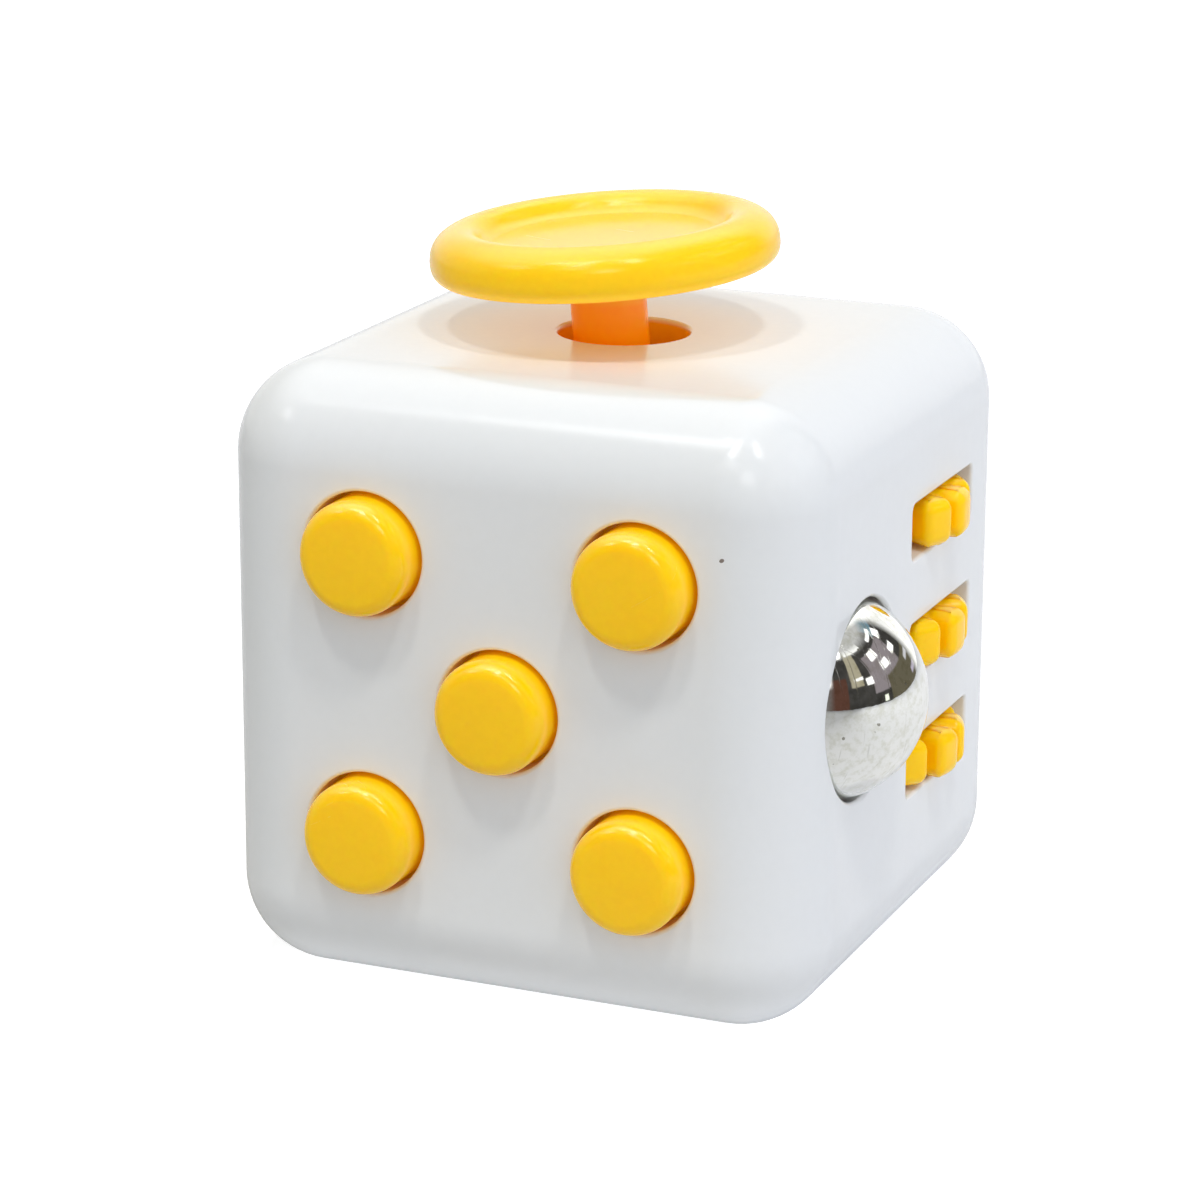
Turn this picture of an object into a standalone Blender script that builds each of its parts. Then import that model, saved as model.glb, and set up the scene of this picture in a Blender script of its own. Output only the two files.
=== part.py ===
"""Fidget cube: a hollow rounded cube with a different finger toy on each face.

Front: five push buttons. Top: a tilting glide stick. Right: a roller ball and three thumb gears.
Left: a spinning dial. Back: a rocker switch. Bottom: a shallow thumb dish.

Every dimension is in millimetres and is counted from the centre of the cube: +X to the right face,
+Y to the back, +Z up. add_object turns them into metres and lifts the cube so that it stands on Z = 0.
"""

import math

import bmesh
import bpy
from mathutils import Matrix, Vector

MM = 0.001

# Case
HALF = 16.5
CORNER_RADIUS = 5.0
CORNER_STEPS = 6
INNER_HALF = 14.5
INNER_FLOOR = -12.7
INNER_RADIUS = 2.0
SEAM_FROM_FACE = 5.2
SEAM_GAP = 0.2
FAR = 30.0
POST_RADIUS = 1.4
POST_ROOT = 15.5
POST_BORE = 0.55
TAB_HALF_WIDTH = 3.0
DISH_RADIUS = 9.5
DISH_DEPTH = 1.8

# Push buttons
BUTTON_SPACING = 7.5
BUTTON_CENTRES = ((-1, 1), (1, 1), (0, 0), (-1, -1), (1, -1))
BUTTON_HOLE_RADIUS = 3.28
CLICK_BUTTONS = (1, 3, 4)
PLATE_FRONT = -11.5
PLATE_BACK = -10.5
PLATE_HALF = 12.6
PLATE_BOTTOM = -12.2
PLATE_SCREWS = ((0.0, 10.8), (0.0, -10.8), (-11.8, 0.0))

# Roller ball
BALL_CENTRE = (14.2, -7.5, 0.2)
BALL_RADIUS = 5.5
CUP_RADIUS = 5.8
CUP_INNER_RADIUS = 5.65
CUP_FRONT = 12.0
CUP_BACK = 7.6
SPIGOT_RADIUS = 1.5

# Thumb gears
GEAR_AXIS = (12.2, 4.68)
GEAR_MIDDLE = 0.6
GEAR_PITCH = 6.56
GEAR_NAMES = ("bottom", "middle", "top")
GEAR_TURNS = (19.9, 27.7, 4.4)
GEAR_TEETH = 12
GEAR_RADIUS = 5.6
GEAR_ROOT_RADIUS = 4.15
GEAR_HALF_WIDTH = 1.3
GEAR_BORE = 1.15
TOOTH_HALF_DEG = 10.6
SLOT_HALF_LENGTH = 4.96
SLOT_HALF_HEIGHT = 1.5
AXLE_RADIUS = 1.0

# Inner side frame, which holds the ball cup and the gear axle
FRAME_BACK = 5.1
FRAME_FRONT = 6.1
FRAME_ARM_END = 14.1
FRAME_SCREWS = ((-8.0, 8.8), (-8.0, -8.4))

# Glide stick
PIVOT = (0.0, 0.0, 7.2)
STICK_LEAN_LEFT = 4.1
STICK_LEAN_FRONT = 1.5
STICK_HOLE_RADIUS = 3.5
STEM_RADIUS = 2.03
DISC_HEIGHT = 14.0
DISC_RADIUS = 9.3
RIM_RADIUS = 1.45
RING_INNER = 2.95
RING_OUTER = 3.9
PIN_RADIUS = 0.45
PIN_HOLE = 0.55
STICK_SCREW = 5.3

# Rocker switch
ROCKER_AXIS_Y = 13.6
ROCKER_LEAN = 7.0
ROCKER_HALF_WIDTH = 3.7
ROCKER_PIN_RADIUS = 0.6
CRADLE_SCREW_Z = 8.6

# Dial
DIAL_RADIUS = 6.75
DIAL_RIDGES = 24
RIDGE_DEPTH = 0.28
DIAL_RECESS_RADIUS = 7.2
SHAFT_RADIUS = 2.0

AXES = {"X": (1, 0, 0), "Y": (0, 1, 0), "Z": (0, 0, 1), "-X": (-1, 0, 0), "-Y": (0, -1, 0), "-Z": (0, 0, -1)}


def clear_scene():
    for obj in list(bpy.data.objects):
        bpy.data.objects.remove(obj, do_unlink=True)


def make_material(name, colour, roughness, metallic=0.0):
    material = bpy.data.materials.new(name)
    material.use_nodes = True
    shader = material.node_tree.nodes["Principled BSDF"]
    shader.inputs["Base Color"].default_value = (*colour, 1.0)
    shader.inputs["Roughness"].default_value = roughness
    shader.inputs["Metallic"].default_value = metallic
    return material


def add_object(name, bm, origin, material, turn=None):
    """An object whose own origin is at origin, from a bmesh in cube coordinates."""
    bmesh.ops.recalc_face_normals(bm, faces=bm.faces)
    bmesh.ops.translate(bm, verts=bm.verts, vec=-Vector(origin))
    if turn is not None:
        bmesh.ops.transform(bm, matrix=turn.to_4x4(), verts=bm.verts)
    bmesh.ops.scale(bm, verts=bm.verts, vec=(MM, MM, MM))
    mesh = bpy.data.meshes.new(name)
    bm.to_mesh(mesh)
    bm.free()
    mesh.shade_smooth()
    mesh.set_sharp_from_angle(angle=math.radians(32))
    obj = bpy.data.objects.new(name, mesh)
    obj.location = (Vector(origin) + Vector((0, 0, HALF))) * MM
    obj.data.materials.append(material)
    bpy.context.scene.collection.objects.link(obj)
    return obj


def carve(obj, bm, name, operation="DIFFERENCE"):
    """Cuts the bmesh's shapes from obj, or joins them to it, with a Boolean."""
    tool = add_object(name, bm, (0, 0, 0), obj.data.materials[0])
    tool.hide_render = True
    tool.display_type = "WIRE"
    modifier = obj.modifiers.new(name, "BOOLEAN")
    modifier.operation = operation
    modifier.solver = "EXACT"
    modifier.object = tool


def lathe(bm, profile, axis="Z", centre=(0, 0, 0), steps=24, ridge=0.0, ridged=()):
    """Turns (radius, height) points about an axis through centre. Ridged points alternate in radius."""
    spin = Vector((0, 0, 1)).rotation_difference(Vector(AXES[axis])).to_matrix()
    rings = []
    for number, (radius, height) in enumerate(profile):
        if radius == 0:
            rings.append([bm.verts.new(spin @ Vector((0, 0, height)) + Vector(centre))])
            continue
        ring = []
        for step in range(steps):
            angle = 2 * math.pi * step / steps
            reach = radius - ridge * (step % 2) * (number in ridged)
            point = Vector((reach * math.cos(angle), reach * math.sin(angle), height))
            ring.append(bm.verts.new(spin @ point + Vector(centre)))
        rings.append(ring)
    pairs = list(zip(rings, rings[1:]))
    if len(rings[0]) > 1:
        pairs.append((rings[-1], rings[0]))
    for first, second in pairs:
        for step in range(steps):
            after = (step + 1) % steps
            corners = [first[step % len(first)], first[after % len(first)]]
            corners += [second[after % len(second)], second[step % len(second)]]
            bm.faces.new(list(dict.fromkeys(corners)))


def rod(bm, radius, low, high, axis="Z", centre=(0, 0, 0), steps=16):
    lathe(bm, ((0, low), (radius, low), (radius, high), (0, high)), axis, centre, steps)


def ring(bm, inner, outer, low, high, axis="Z", centre=(0, 0, 0), steps=20):
    lathe(bm, ((inner, low), (outer, low), (outer, high), (inner, high)), axis, centre, steps)


def prism(bm, outline, axis, low, high):
    """Extrudes an outline of the two other axes' coordinates, in X, Y, Z order, along an axis."""
    place = {"X": lambda a, b, c: (c, a, b), "Y": lambda a, b, c: (a, c, b), "Z": lambda a, b, c: (a, b, c)}[axis]
    near = [bm.verts.new(place(a, b, low)) for a, b in outline]
    far = [bm.verts.new(place(a, b, high)) for a, b in outline]
    bm.faces.new(near)
    bm.faces.new(far)
    for one in range(len(outline)):
        two = (one + 1) % len(outline)
        bm.faces.new((near[one], near[two], far[two], far[one]))


def rectangle(a_low, b_low, a_high, b_high, radius=0.0, steps=3):
    """The outline of a rectangle with round corners."""
    if not radius:
        return [(a_low, b_low), (a_high, b_low), (a_high, b_high), (a_low, b_high)]
    corners = (
        (a_high - radius, b_high - radius, 0),
        (a_low + radius, b_high - radius, 90),
        (a_low + radius, b_low + radius, 180),
        (a_high - radius, b_low + radius, 270),
    )
    points = []
    for a, b, start in corners:
        for step in range(steps + 1):
            angle = math.radians(start + 90 * step / steps)
            points.append((a + radius * math.cos(angle), b + radius * math.sin(angle)))
    return points


def block(bm, low, high):
    prism(bm, rectangle(low[0], low[1], high[0], high[1]), "Z", low[2], high[2])


def rounded_block(bm, low, high, radius, steps):
    block(bm, low, high)
    bmesh.ops.recalc_face_normals(bm, faces=bm.faces)
    bmesh.ops.bevel(
        bm, geom=bm.edges[:], offset=radius, offset_type="OFFSET", segments=steps, profile=0.5, affect="EDGES"
    )


def clip(bm, inner, outer, low, high, axis, centre, open_deg=90, steps=12):
    """A snap ring: a flat ring with a gap."""
    spin = Vector((0, 0, 1)).rotation_difference(Vector(AXES[axis])).to_matrix()
    loops = []
    for step in range(steps + 1):
        angle = math.radians(open_deg / 2 + (360 - open_deg) * step / steps)
        loop = []
        for radius, height in ((inner, low), (outer, low), (outer, high), (inner, high)):
            point = Vector((radius * math.cos(angle), radius * math.sin(angle), height))
            loop.append(bm.verts.new(spin @ point + Vector(centre)))
        loops.append(loop)
    sweep_faces(bm, loops)


def sweep_faces(bm, loops):
    """Skins a run of equal loops of vertices and closes both ends."""
    bm.faces.new(loops[0])
    bm.faces.new(loops[-1])
    for first, second in zip(loops, loops[1:]):
        for one in range(len(first)):
            two = (one + 1) % len(first)
            bm.faces.new((first[one], first[two], second[two], second[one]))


def coil(bm, radius, wire, low, high, turns, centre, per_turn=10, sides=6):
    """A coil spring about a vertical axis."""
    loops = []
    for step in range(int(turns * per_turn) + 1):
        angle = 2 * math.pi * step / per_turn
        height = low + (high - low) * step / (turns * per_turn)
        outward = Vector((math.cos(angle), math.sin(angle), 0))
        loop = []
        for side in range(sides):
            around = 2 * math.pi * side / sides
            reach = radius + wire * math.cos(around)
            point = outward * reach + Vector((0, 0, height + wire * math.sin(around)))
            loop.append(bm.verts.new(point + Vector(centre)))
        loops.append(loop)
    sweep_faces(bm, loops)


def screw(name, head, along, length, material):
    """A small pan-head screw: head is the centre of the face under its head, along is where it goes."""
    bm = bmesh.new()
    profile = ((0, -0.55), (0.7, -0.5), (1.0, -0.2), (1.0, 0), (0.42, 0), (0.42, length - 0.3), (0, length))
    lathe(bm, profile, along, head, steps=12)
    return add_object(name, bm, head, material)


# Case


def seam_block(bm, grow):
    """The region that the rear shell takes: everything away from the front, top and right faces."""
    seam = HALF - SEAM_FROM_FACE
    block(bm, (-FAR, -seam - grow, -FAR), (seam + grow, FAR, seam + grow))


def hollow(obj, name):
    bm = bmesh.new()
    inner = INNER_HALF
    rounded_block(bm, (-inner, -inner, INNER_FLOOR), (inner, inner, inner), INNER_RADIUS, 3)
    carve(obj, bm, name)


def slot_cutters(bm, half_length, half_height, low, high, radius):
    for number in range(len(GEAR_NAMES)):
        z = GEAR_MIDDLE + (number - 1) * GEAR_PITCH
        y = GEAR_AXIS[1]
        prism(
            bm,
            rectangle(y - half_length, z - half_height, y + half_length, z + half_height, radius),
            "X",
            low,
            high,
        )


def build_front_shell(white):
    bm = bmesh.new()
    rounded_block(bm, (-HALF,) * 3, (HALF,) * 3, CORNER_RADIUS, CORNER_STEPS)
    shell = add_object("shell_front", bm, (0, 0, 0), white)
    hollow(shell, "front_hollow")
    bm = bmesh.new()
    seam_block(bm, SEAM_GAP / 2)
    carve(shell, bm, "front_seam")
    bm = bmesh.new()
    for x, z in PLATE_SCREWS:
        rod(bm, POST_RADIUS, -POST_ROOT, PLATE_FRONT - 0.3, "Y", (x, 0, z), 12)
    for y, z in FRAME_SCREWS:
        rod(bm, POST_RADIUS, FRAME_FRONT + 0.3, POST_ROOT, "X", (0, y, z), 12)
    carve(shell, bm, "front_posts", "UNION")
    bm = bmesh.new()
    for x, z in BUTTON_CENTRES:
        centre = (x * BUTTON_SPACING, 0, z * BUTTON_SPACING)
        rod(bm, BUTTON_HOLE_RADIUS, -HALF - 1, -INNER_HALF + 1, "Y", centre, 28)
    rod(bm, STICK_HOLE_RADIUS, INNER_HALF - 1, HALF + 1, "Z", (0, 0, 0), 32)
    ball_seat = ((0, 13.5), (5.975, 13.5), (5.3, 16.5), (5.3, 18.5), (0, 18.5))
    lathe(bm, ball_seat, "X", (0, BALL_CENTRE[1], BALL_CENTRE[2]), 36)
    slot_cutters(bm, SLOT_HALF_LENGTH, SLOT_HALF_HEIGHT, 13.0, HALF + 1, 0.4)
    carve(shell, bm, "front_openings")
    bm = bmesh.new()
    slot_cutters(bm, SLOT_HALF_LENGTH + 0.8, SLOT_HALF_HEIGHT + 0.25, 13.5, 15.2, 0.0)
    for x, z in PLATE_SCREWS:
        rod(bm, POST_BORE, -14.2, PLATE_FRONT, "Y", (x, 0, z), 10)
    for y, z in FRAME_SCREWS:
        rod(bm, POST_BORE, FRAME_FRONT, 10.5, "X", (0, y, z), 10)
    for x in (-STICK_SCREW, STICK_SCREW):
        for y in (-STICK_SCREW, STICK_SCREW):
            rod(bm, POST_BORE, INNER_HALF - 1, 15.8, "Z", (x, y, 0), 10)
    carve(shell, bm, "front_bores")


def snap_tab(bm, wall, wall_at, seam, span, middle):
    """A tongue on the rear shell that reaches across the seam, just inside the front shell's wall."""
    sign = 1 if wall_at > 0 else -1
    seam_sign = -1 if seam == "Y" else 1
    edge = HALF - SEAM_FROM_FACE
    inside = wall_at - 0.3 * sign
    deep = wall_at - 1.1 * sign
    root = wall_at + 0.5 * sign
    outline = (
        (deep, edge - 2.0),
        (root, edge - 2.0),
        (root, edge - 0.5),
        (inside, edge - 0.5),
        (inside, edge + 2.2),
        (deep, edge + 2.2),
    )
    near, far = [], []
    for shift, side in ((middle - TAB_HALF_WIDTH, near), (middle + TAB_HALF_WIDTH, far)):
        for depth, across in outline:
            place = {wall: depth, seam: across * seam_sign, span: shift}
            side.append(bm.verts.new((place["X"], place["Y"], place["Z"])))
    sweep_faces(bm, [near, far])


def build_rear_shell(white):
    bm = bmesh.new()
    rounded_block(bm, (-HALF,) * 3, (HALF,) * 3, CORNER_RADIUS, CORNER_STEPS)
    shell = add_object("shell_rear", bm, (0, 0, 0), white)
    hollow(shell, "rear_hollow")
    bm = bmesh.new()
    seam_block(bm, -SEAM_GAP / 2)
    carve(shell, bm, "rear_seam", "INTERSECT")
    bm = bmesh.new()
    snap_tab(bm, "X", -INNER_HALF, "Y", "Z", 5.0)
    snap_tab(bm, "X", -INNER_HALF, "Z", "Y", 6.0)
    snap_tab(bm, "Y", INNER_HALF, "Z", "X", -8.0)
    snap_tab(bm, "Y", INNER_HALF, "X", "Z", -5.0)
    snap_tab(bm, "Z", INNER_FLOOR, "X", "Y", 4.0)
    for z in (-CRADLE_SCREW_Z, CRADLE_SCREW_Z):
        rod(bm, POST_RADIUS, 10.5, POST_ROOT, "Y", (0, 0, z), 12)
    carve(shell, bm, "rear_posts", "UNION")
    bm = bmesh.new()
    sphere = (DISH_RADIUS**2 + DISH_DEPTH**2) / (2 * DISH_DEPTH)
    edge = math.asin(DISH_RADIUS / sphere)
    top = -HALF + DISH_DEPTH
    dish = [(0, top)]
    for step in range(1, 8):
        angle = edge * 1.15 * step / 7
        dish.append((sphere * math.sin(angle), top - sphere * (1 - math.cos(angle))))
    dish.append((0, dish[-1][1]))
    lathe(bm, dish, "Z", (0, 0, 0), 32)
    recess = ((0, 12.5), (2.25, 12.5), (2.25, 15.7), (DIAL_RECESS_RADIUS, 15.7), (DIAL_RECESS_RADIUS, 18), (0, 18))
    lathe(bm, recess, "-X", (0, 0, 0), 36)
    prism(bm, rectangle(-4.0, -6.4, 4.0, 6.4, 1.0), "Y", 13.0, HALF + 2)
    for z in (-CRADLE_SCREW_Z, CRADLE_SCREW_Z):
        rod(bm, POST_BORE, 10.0, 13.2, "Y", (0, 0, z), 10)
    carve(shell, bm, "rear_openings")


# Push buttons


def build_buttons(yellow, steel, rubber):
    cap = (
        (0, 18.27),
        (1.3, 18.26),
        (2.1, 18.2),
        (2.55, 18.04),
        (2.88, 17.72),
        (3.03, 17.25),
        (3.03, 14.2),
        (3.7, 14.2),
        (3.7, 13.4),
        (1.0, 13.4),
        (1.0, 13.0),
        (0, 13.0),
    )
    snap = (
        (0, 12.7),
        (0.9, 12.6),
        (1.5, 12.3),
        (1.9, 11.8),
        (1.65, 11.8),
        (1.3, 12.13),
        (0.8, 12.38),
        (0, 12.46),
    )
    soft = (
        (0, 12.7),
        (0.8, 12.7),
        (1.0, 12.5),
        (1.6, 12.1),
        (1.9, 12.05),
        (1.9, 11.8),
        (1.3, 11.8),
        (0.9, 12.1),
        (0.6, 12.3),
        (0, 12.3),
    )
    for number, (x, z) in enumerate(BUTTON_CENTRES, 1):
        centre = (x * BUTTON_SPACING, 0, z * BUTTON_SPACING)
        bm = bmesh.new()
        lathe(bm, cap, "-Y", centre, 22)
        add_object(f"button_cap_{number}", bm, (centre[0], -HALF, centre[2]), yellow)
        bm = bmesh.new()
        clicks = number in CLICK_BUTTONS
        lathe(bm, snap if clicks else soft, "-Y", centre, 14)
        name = f"snap_dome_{number}" if clicks else f"soft_dome_{number}"
        add_object(name, bm, (centre[0], PLATE_FRONT, centre[2]), steel if clicks else rubber)


def build_button_plate(grey, steel):
    bm = bmesh.new()
    outline = (
        (-PLATE_HALF, PLATE_BOTTOM),
        (PLATE_HALF, PLATE_BOTTOM),
        (PLATE_HALF, -5.3),
        (6.2, -5.3),
        (6.2, 5.7),
        (PLATE_HALF, 5.7),
        (PLATE_HALF, PLATE_HALF),
        (-PLATE_HALF, PLATE_HALF),
    )
    prism(bm, outline, "Y", PLATE_FRONT, PLATE_BACK)
    plate = add_object("button_plate", bm, (0, PLATE_FRONT, 0), grey)
    bm = bmesh.new()
    for x, z in PLATE_SCREWS:
        rod(bm, POST_BORE, PLATE_FRONT - 1, PLATE_BACK + 1, "Y", (x, 0, z), 12)
    carve(plate, bm, "plate_holes")
    for name, (x, z) in zip(("top", "bottom", "left"), PLATE_SCREWS):
        screw(f"plate_screw_{name}", (x, PLATE_BACK + 0.3, z), "-Y", 3.2, steel)


# Roller ball


def build_ball(chrome, grey, steel):
    x, y, z = BALL_CENTRE
    bm = bmesh.new()
    profile = []
    for step in range(15):
        angle = math.pi * step / 14
        radius = BALL_RADIUS * math.sin(angle) if 0 < step < 14 else 0
        profile.append((radius, BALL_RADIUS * math.cos(angle)))
    lathe(bm, profile, "X", BALL_CENTRE, 26)
    add_object("roller_ball", bm, BALL_CENTRE, chrome)

    bm = bmesh.new()
    low = math.pi - math.acos((x - CUP_FRONT) / CUP_INNER_RADIUS)
    cup = [(0, x - CUP_INNER_RADIUS)]
    for step in range(1, 7):
        angle = math.pi + (low - math.pi) * step / 6
        cup.append((CUP_INNER_RADIUS * math.sin(angle), x + CUP_INNER_RADIUS * math.cos(angle)))
    cup += [(CUP_RADIUS, CUP_FRONT), (CUP_RADIUS, 8.9), (5.0, CUP_BACK), (SPIGOT_RADIUS, CUP_BACK)]
    cup += [(SPIGOT_RADIUS, 4.75), (1.1, 4.75), (1.1, 4.25), (SPIGOT_RADIUS, 4.25), (SPIGOT_RADIUS, 3.9), (0, 3.9)]
    lathe(bm, cup, "X", (0, y, z), 26)
    add_object("ball_cup", bm, (CUP_BACK, y, z), grey)

    bm = bmesh.new()
    clip(bm, 1.22, 2.3, 4.35, 4.65, "X", (0, y, z))
    add_object("ball_cup_clip", bm, (4.5, y, z), steel)

    bm = bmesh.new()
    spin = Vector((0, 0, 1)).rotation_difference(Vector((1, 0, 0))).to_matrix()
    steps = 24
    loops = []
    for step in range(steps):
        angle = 2 * math.pi * step / steps
        middle = 6.85 + 0.28 * math.cos(3 * angle)
        loop = []
        for radius, height in ((1.8, -0.11), (3.2, -0.11), (3.2, 0.11), (1.8, 0.11)):
            point = Vector((radius * math.cos(angle), radius * math.sin(angle), middle + height))
            loop.append(bm.verts.new(spin @ point + Vector((0, y, z))))
        loops.append(loop)
    for first, second in zip(loops, loops[1:] + loops[:1]):
        for one in range(4):
            two = (one + 1) % 4
            bm.faces.new((first[one], first[two], second[two], second[one]))
    add_object("ball_wave_spring", bm, (6.85, y, z), steel)


def build_side_frame(grey, steel):
    """The bracket behind the right face: a plate for the ball cup's spigot and two arms for the axle."""
    bm = bmesh.new()
    outline = (
        (FRAME_BACK, -8.56),
        (FRAME_ARM_END, -8.56),
        (FRAME_ARM_END, -7.56),
        (FRAME_FRONT, -7.56),
        (FRAME_FRONT, 8.76),
        (FRAME_ARM_END, 8.76),
        (FRAME_ARM_END, 9.76),
        (FRAME_BACK, 9.76),
    )
    prism(bm, outline, "Y", 2.4, 7.0)
    frame = add_object("side_frame", bm, (FRAME_BACK, 0, 0), grey)
    bm = bmesh.new()
    block(bm, (FRAME_BACK, -10.0, -10.2), (FRAME_FRONT, 2.9, 10.6))
    carve(frame, bm, "frame_plate", "UNION")
    bm = bmesh.new()
    rod(bm, SPIGOT_RADIUS + 0.15, 3.0, 7.0, "X", (0, BALL_CENTRE[1], BALL_CENTRE[2]), 20)
    for y, z in FRAME_SCREWS:
        rod(bm, POST_BORE, 3.0, 7.0, "X", (0, y, z), 12)
    rod(bm, AXLE_RADIUS + 0.12, -9.5, -7.0, "Z", (*GEAR_AXIS, 0), 20)
    rod(bm, AXLE_RADIUS + 0.12, 8.0, 10.5, "Z", (*GEAR_AXIS, 0), 20)
    carve(frame, bm, "frame_holes")
    for name, (y, z) in zip(("top", "bottom"), FRAME_SCREWS):
        screw(f"frame_screw_{name}", (FRAME_BACK - 0.3, y, z), "X", 4.6, steel)


# Thumb gears


def gear_outline(turn):
    """(outer, bore) points of one gear, tooth by tooth."""
    outer, bore = [], []
    half = TOOTH_HALF_DEG
    tooth = (
        (-half - 1.5, GEAR_ROOT_RADIUS),
        (-half, GEAR_RADIUS - 0.35),
        (-half + 3.2, GEAR_RADIUS),
        (half - 3.2, GEAR_RADIUS),
        (half, GEAR_RADIUS - 0.35),
        (half + 1.5, GEAR_ROOT_RADIUS),
    )
    for number in range(GEAR_TEETH):
        for shift, radius in tooth:
            angle = math.radians(turn + 360 * number / GEAR_TEETH + shift)
            outer.append((radius * math.cos(angle), radius * math.sin(angle)))
            bore.append((GEAR_BORE * math.cos(angle), GEAR_BORE * math.sin(angle)))
    return outer, bore


def build_gears(yellow, steel, grey):
    x, y = GEAR_AXIS
    for number, name in enumerate(GEAR_NAMES):
        z = GEAR_MIDDLE + (number - 1) * GEAR_PITCH
        outer, bore = gear_outline(GEAR_TURNS[number])
        bm = bmesh.new()
        loops = []
        for points, height in (
            (bore, -GEAR_HALF_WIDTH),
            (outer, -GEAR_HALF_WIDTH),
            (outer, GEAR_HALF_WIDTH),
            (bore, GEAR_HALF_WIDTH),
        ):
            loops.append([bm.verts.new((x + a, y + b, z + height)) for a, b in points])
        for first, second in zip(loops, loops[1:] + loops[:1]):
            for one in range(len(outer)):
                two = (one + 1) % len(outer)
                bm.faces.new((first[one], first[two], second[two], second[one]))
        add_object(f"gear_{name}", bm, (x, y, z), yellow)

    bm = bmesh.new()
    axle = (
        (0, -9.6),
        (AXLE_RADIUS, -9.6),
        (AXLE_RADIUS, -9.25),
        (0.72, -9.25),
        (0.72, -8.85),
        (AXLE_RADIUS, -8.85),
        (AXLE_RADIUS, 10.06),
        (1.7, 10.06),
        (1.7, 10.4),
        (1.3, 10.6),
        (0, 10.6),
    )
    lathe(bm, axle, "Z", (x, y, 0), 16)
    add_object("gear_axle", bm, (x, y, 0), steel)
    bm = bmesh.new()
    clip(bm, 0.82, 1.9, -9.17, -8.93, "Z", (x, y, 0))
    add_object("gear_axle_clip", bm, (x, y, -9.0), steel)
    for name, low, high in (("lower", -4.4, -0.95), ("upper", 2.15, 5.6)):
        bm = bmesh.new()
        ring(bm, GEAR_BORE, 1.9, low, high, "Z", (x, y, 0), 18)
        add_object(f"gear_spacer_{name}", bm, (x, y, low), grey)


# Glide stick


def stick_turns():
    """(the gimbal ring's turn, the stick's turn) at rest."""
    left = Matrix.Rotation(math.radians(-STICK_LEAN_LEFT), 3, "Y")
    front = Matrix.Rotation(math.radians(STICK_LEAN_FRONT), 3, "X")
    return left, left @ front


def build_stick(yellow, grey, steel):
    px, py, pz = PIVOT
    ring_turn, stick_turn = stick_turns()
    rim_centre = DISC_RADIUS - RIM_RADIUS
    profile = [(0, DISC_HEIGHT + 0.45), (5.4, DISC_HEIGHT + 0.5), (6.3, DISC_HEIGHT + 0.75)]
    profile.append((6.9, DISC_HEIGHT + 1.2))
    for step in range(9):
        angle = math.radians(100 - 190 * step / 8)
        profile.append((rim_centre + RIM_RADIUS * math.cos(angle), DISC_HEIGHT + RIM_RADIUS * math.sin(angle)))
    profile += [(2.6, DISC_HEIGHT - 1.3), (STEM_RADIUS, DISC_HEIGHT - 1.9), (STEM_RADIUS, 1.2)]
    profile += [(2.35, 0), (1.75, -1.57), (1.2, -2.1), (1.2, -2.6), (2.2, -2.6), (2.2, -3.2), (0, -3.2)]
    bm = bmesh.new()
    lathe(bm, profile, "Z", PIVOT, 30)
    stick = add_object("glide_stick", bm, PIVOT, yellow, stick_turn)
    bm = bmesh.new()
    rod(bm, PIN_HOLE, -3.0, 3.0, "X", (0, 0, 0), 12)
    bmesh.ops.transform(bm, matrix=stick_turn.to_4x4(), verts=bm.verts)
    bmesh.ops.translate(bm, verts=bm.verts, vec=PIVOT)
    carve(stick, bm, "stick_pin_hole")

    bm = bmesh.new()
    ring(bm, RING_INNER, RING_OUTER, pz - 1.0, pz + 1.0, "Z", (px, py, 0), 28)
    gimbal = add_object("gimbal_ring", bm, PIVOT, grey, ring_turn)
    for axis in "XY":
        bm = bmesh.new()
        rod(bm, PIN_HOLE, -5.0, 5.0, axis, (0, 0, 0), 12)
        bmesh.ops.transform(bm, matrix=ring_turn.to_4x4(), verts=bm.verts)
        bmesh.ops.translate(bm, verts=bm.verts, vec=PIVOT)
        carve(gimbal, bm, f"gimbal_hole_{axis}")
    bm = bmesh.new()
    rod(bm, PIN_RADIUS, -3.7, 3.7, "X", PIVOT, 12)
    add_object("stick_cross_pin", bm, PIVOT, steel, stick_turn)
    for name, low, high in (("front", -5.2, -3.15), ("rear", 3.15, 5.2)):
        bm = bmesh.new()
        rod(bm, PIN_RADIUS, low, high, "Y", PIVOT, 12)
        add_object(f"gimbal_pin_{name}", bm, PIVOT, steel, ring_turn)

    bm = bmesh.new()
    coil(bm, 1.7, 0.2, 2.15, 3.45, 2.5, (px, py, 0))
    add_object("stick_return_spring", bm, (px, py, 1.9), steel)


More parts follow.
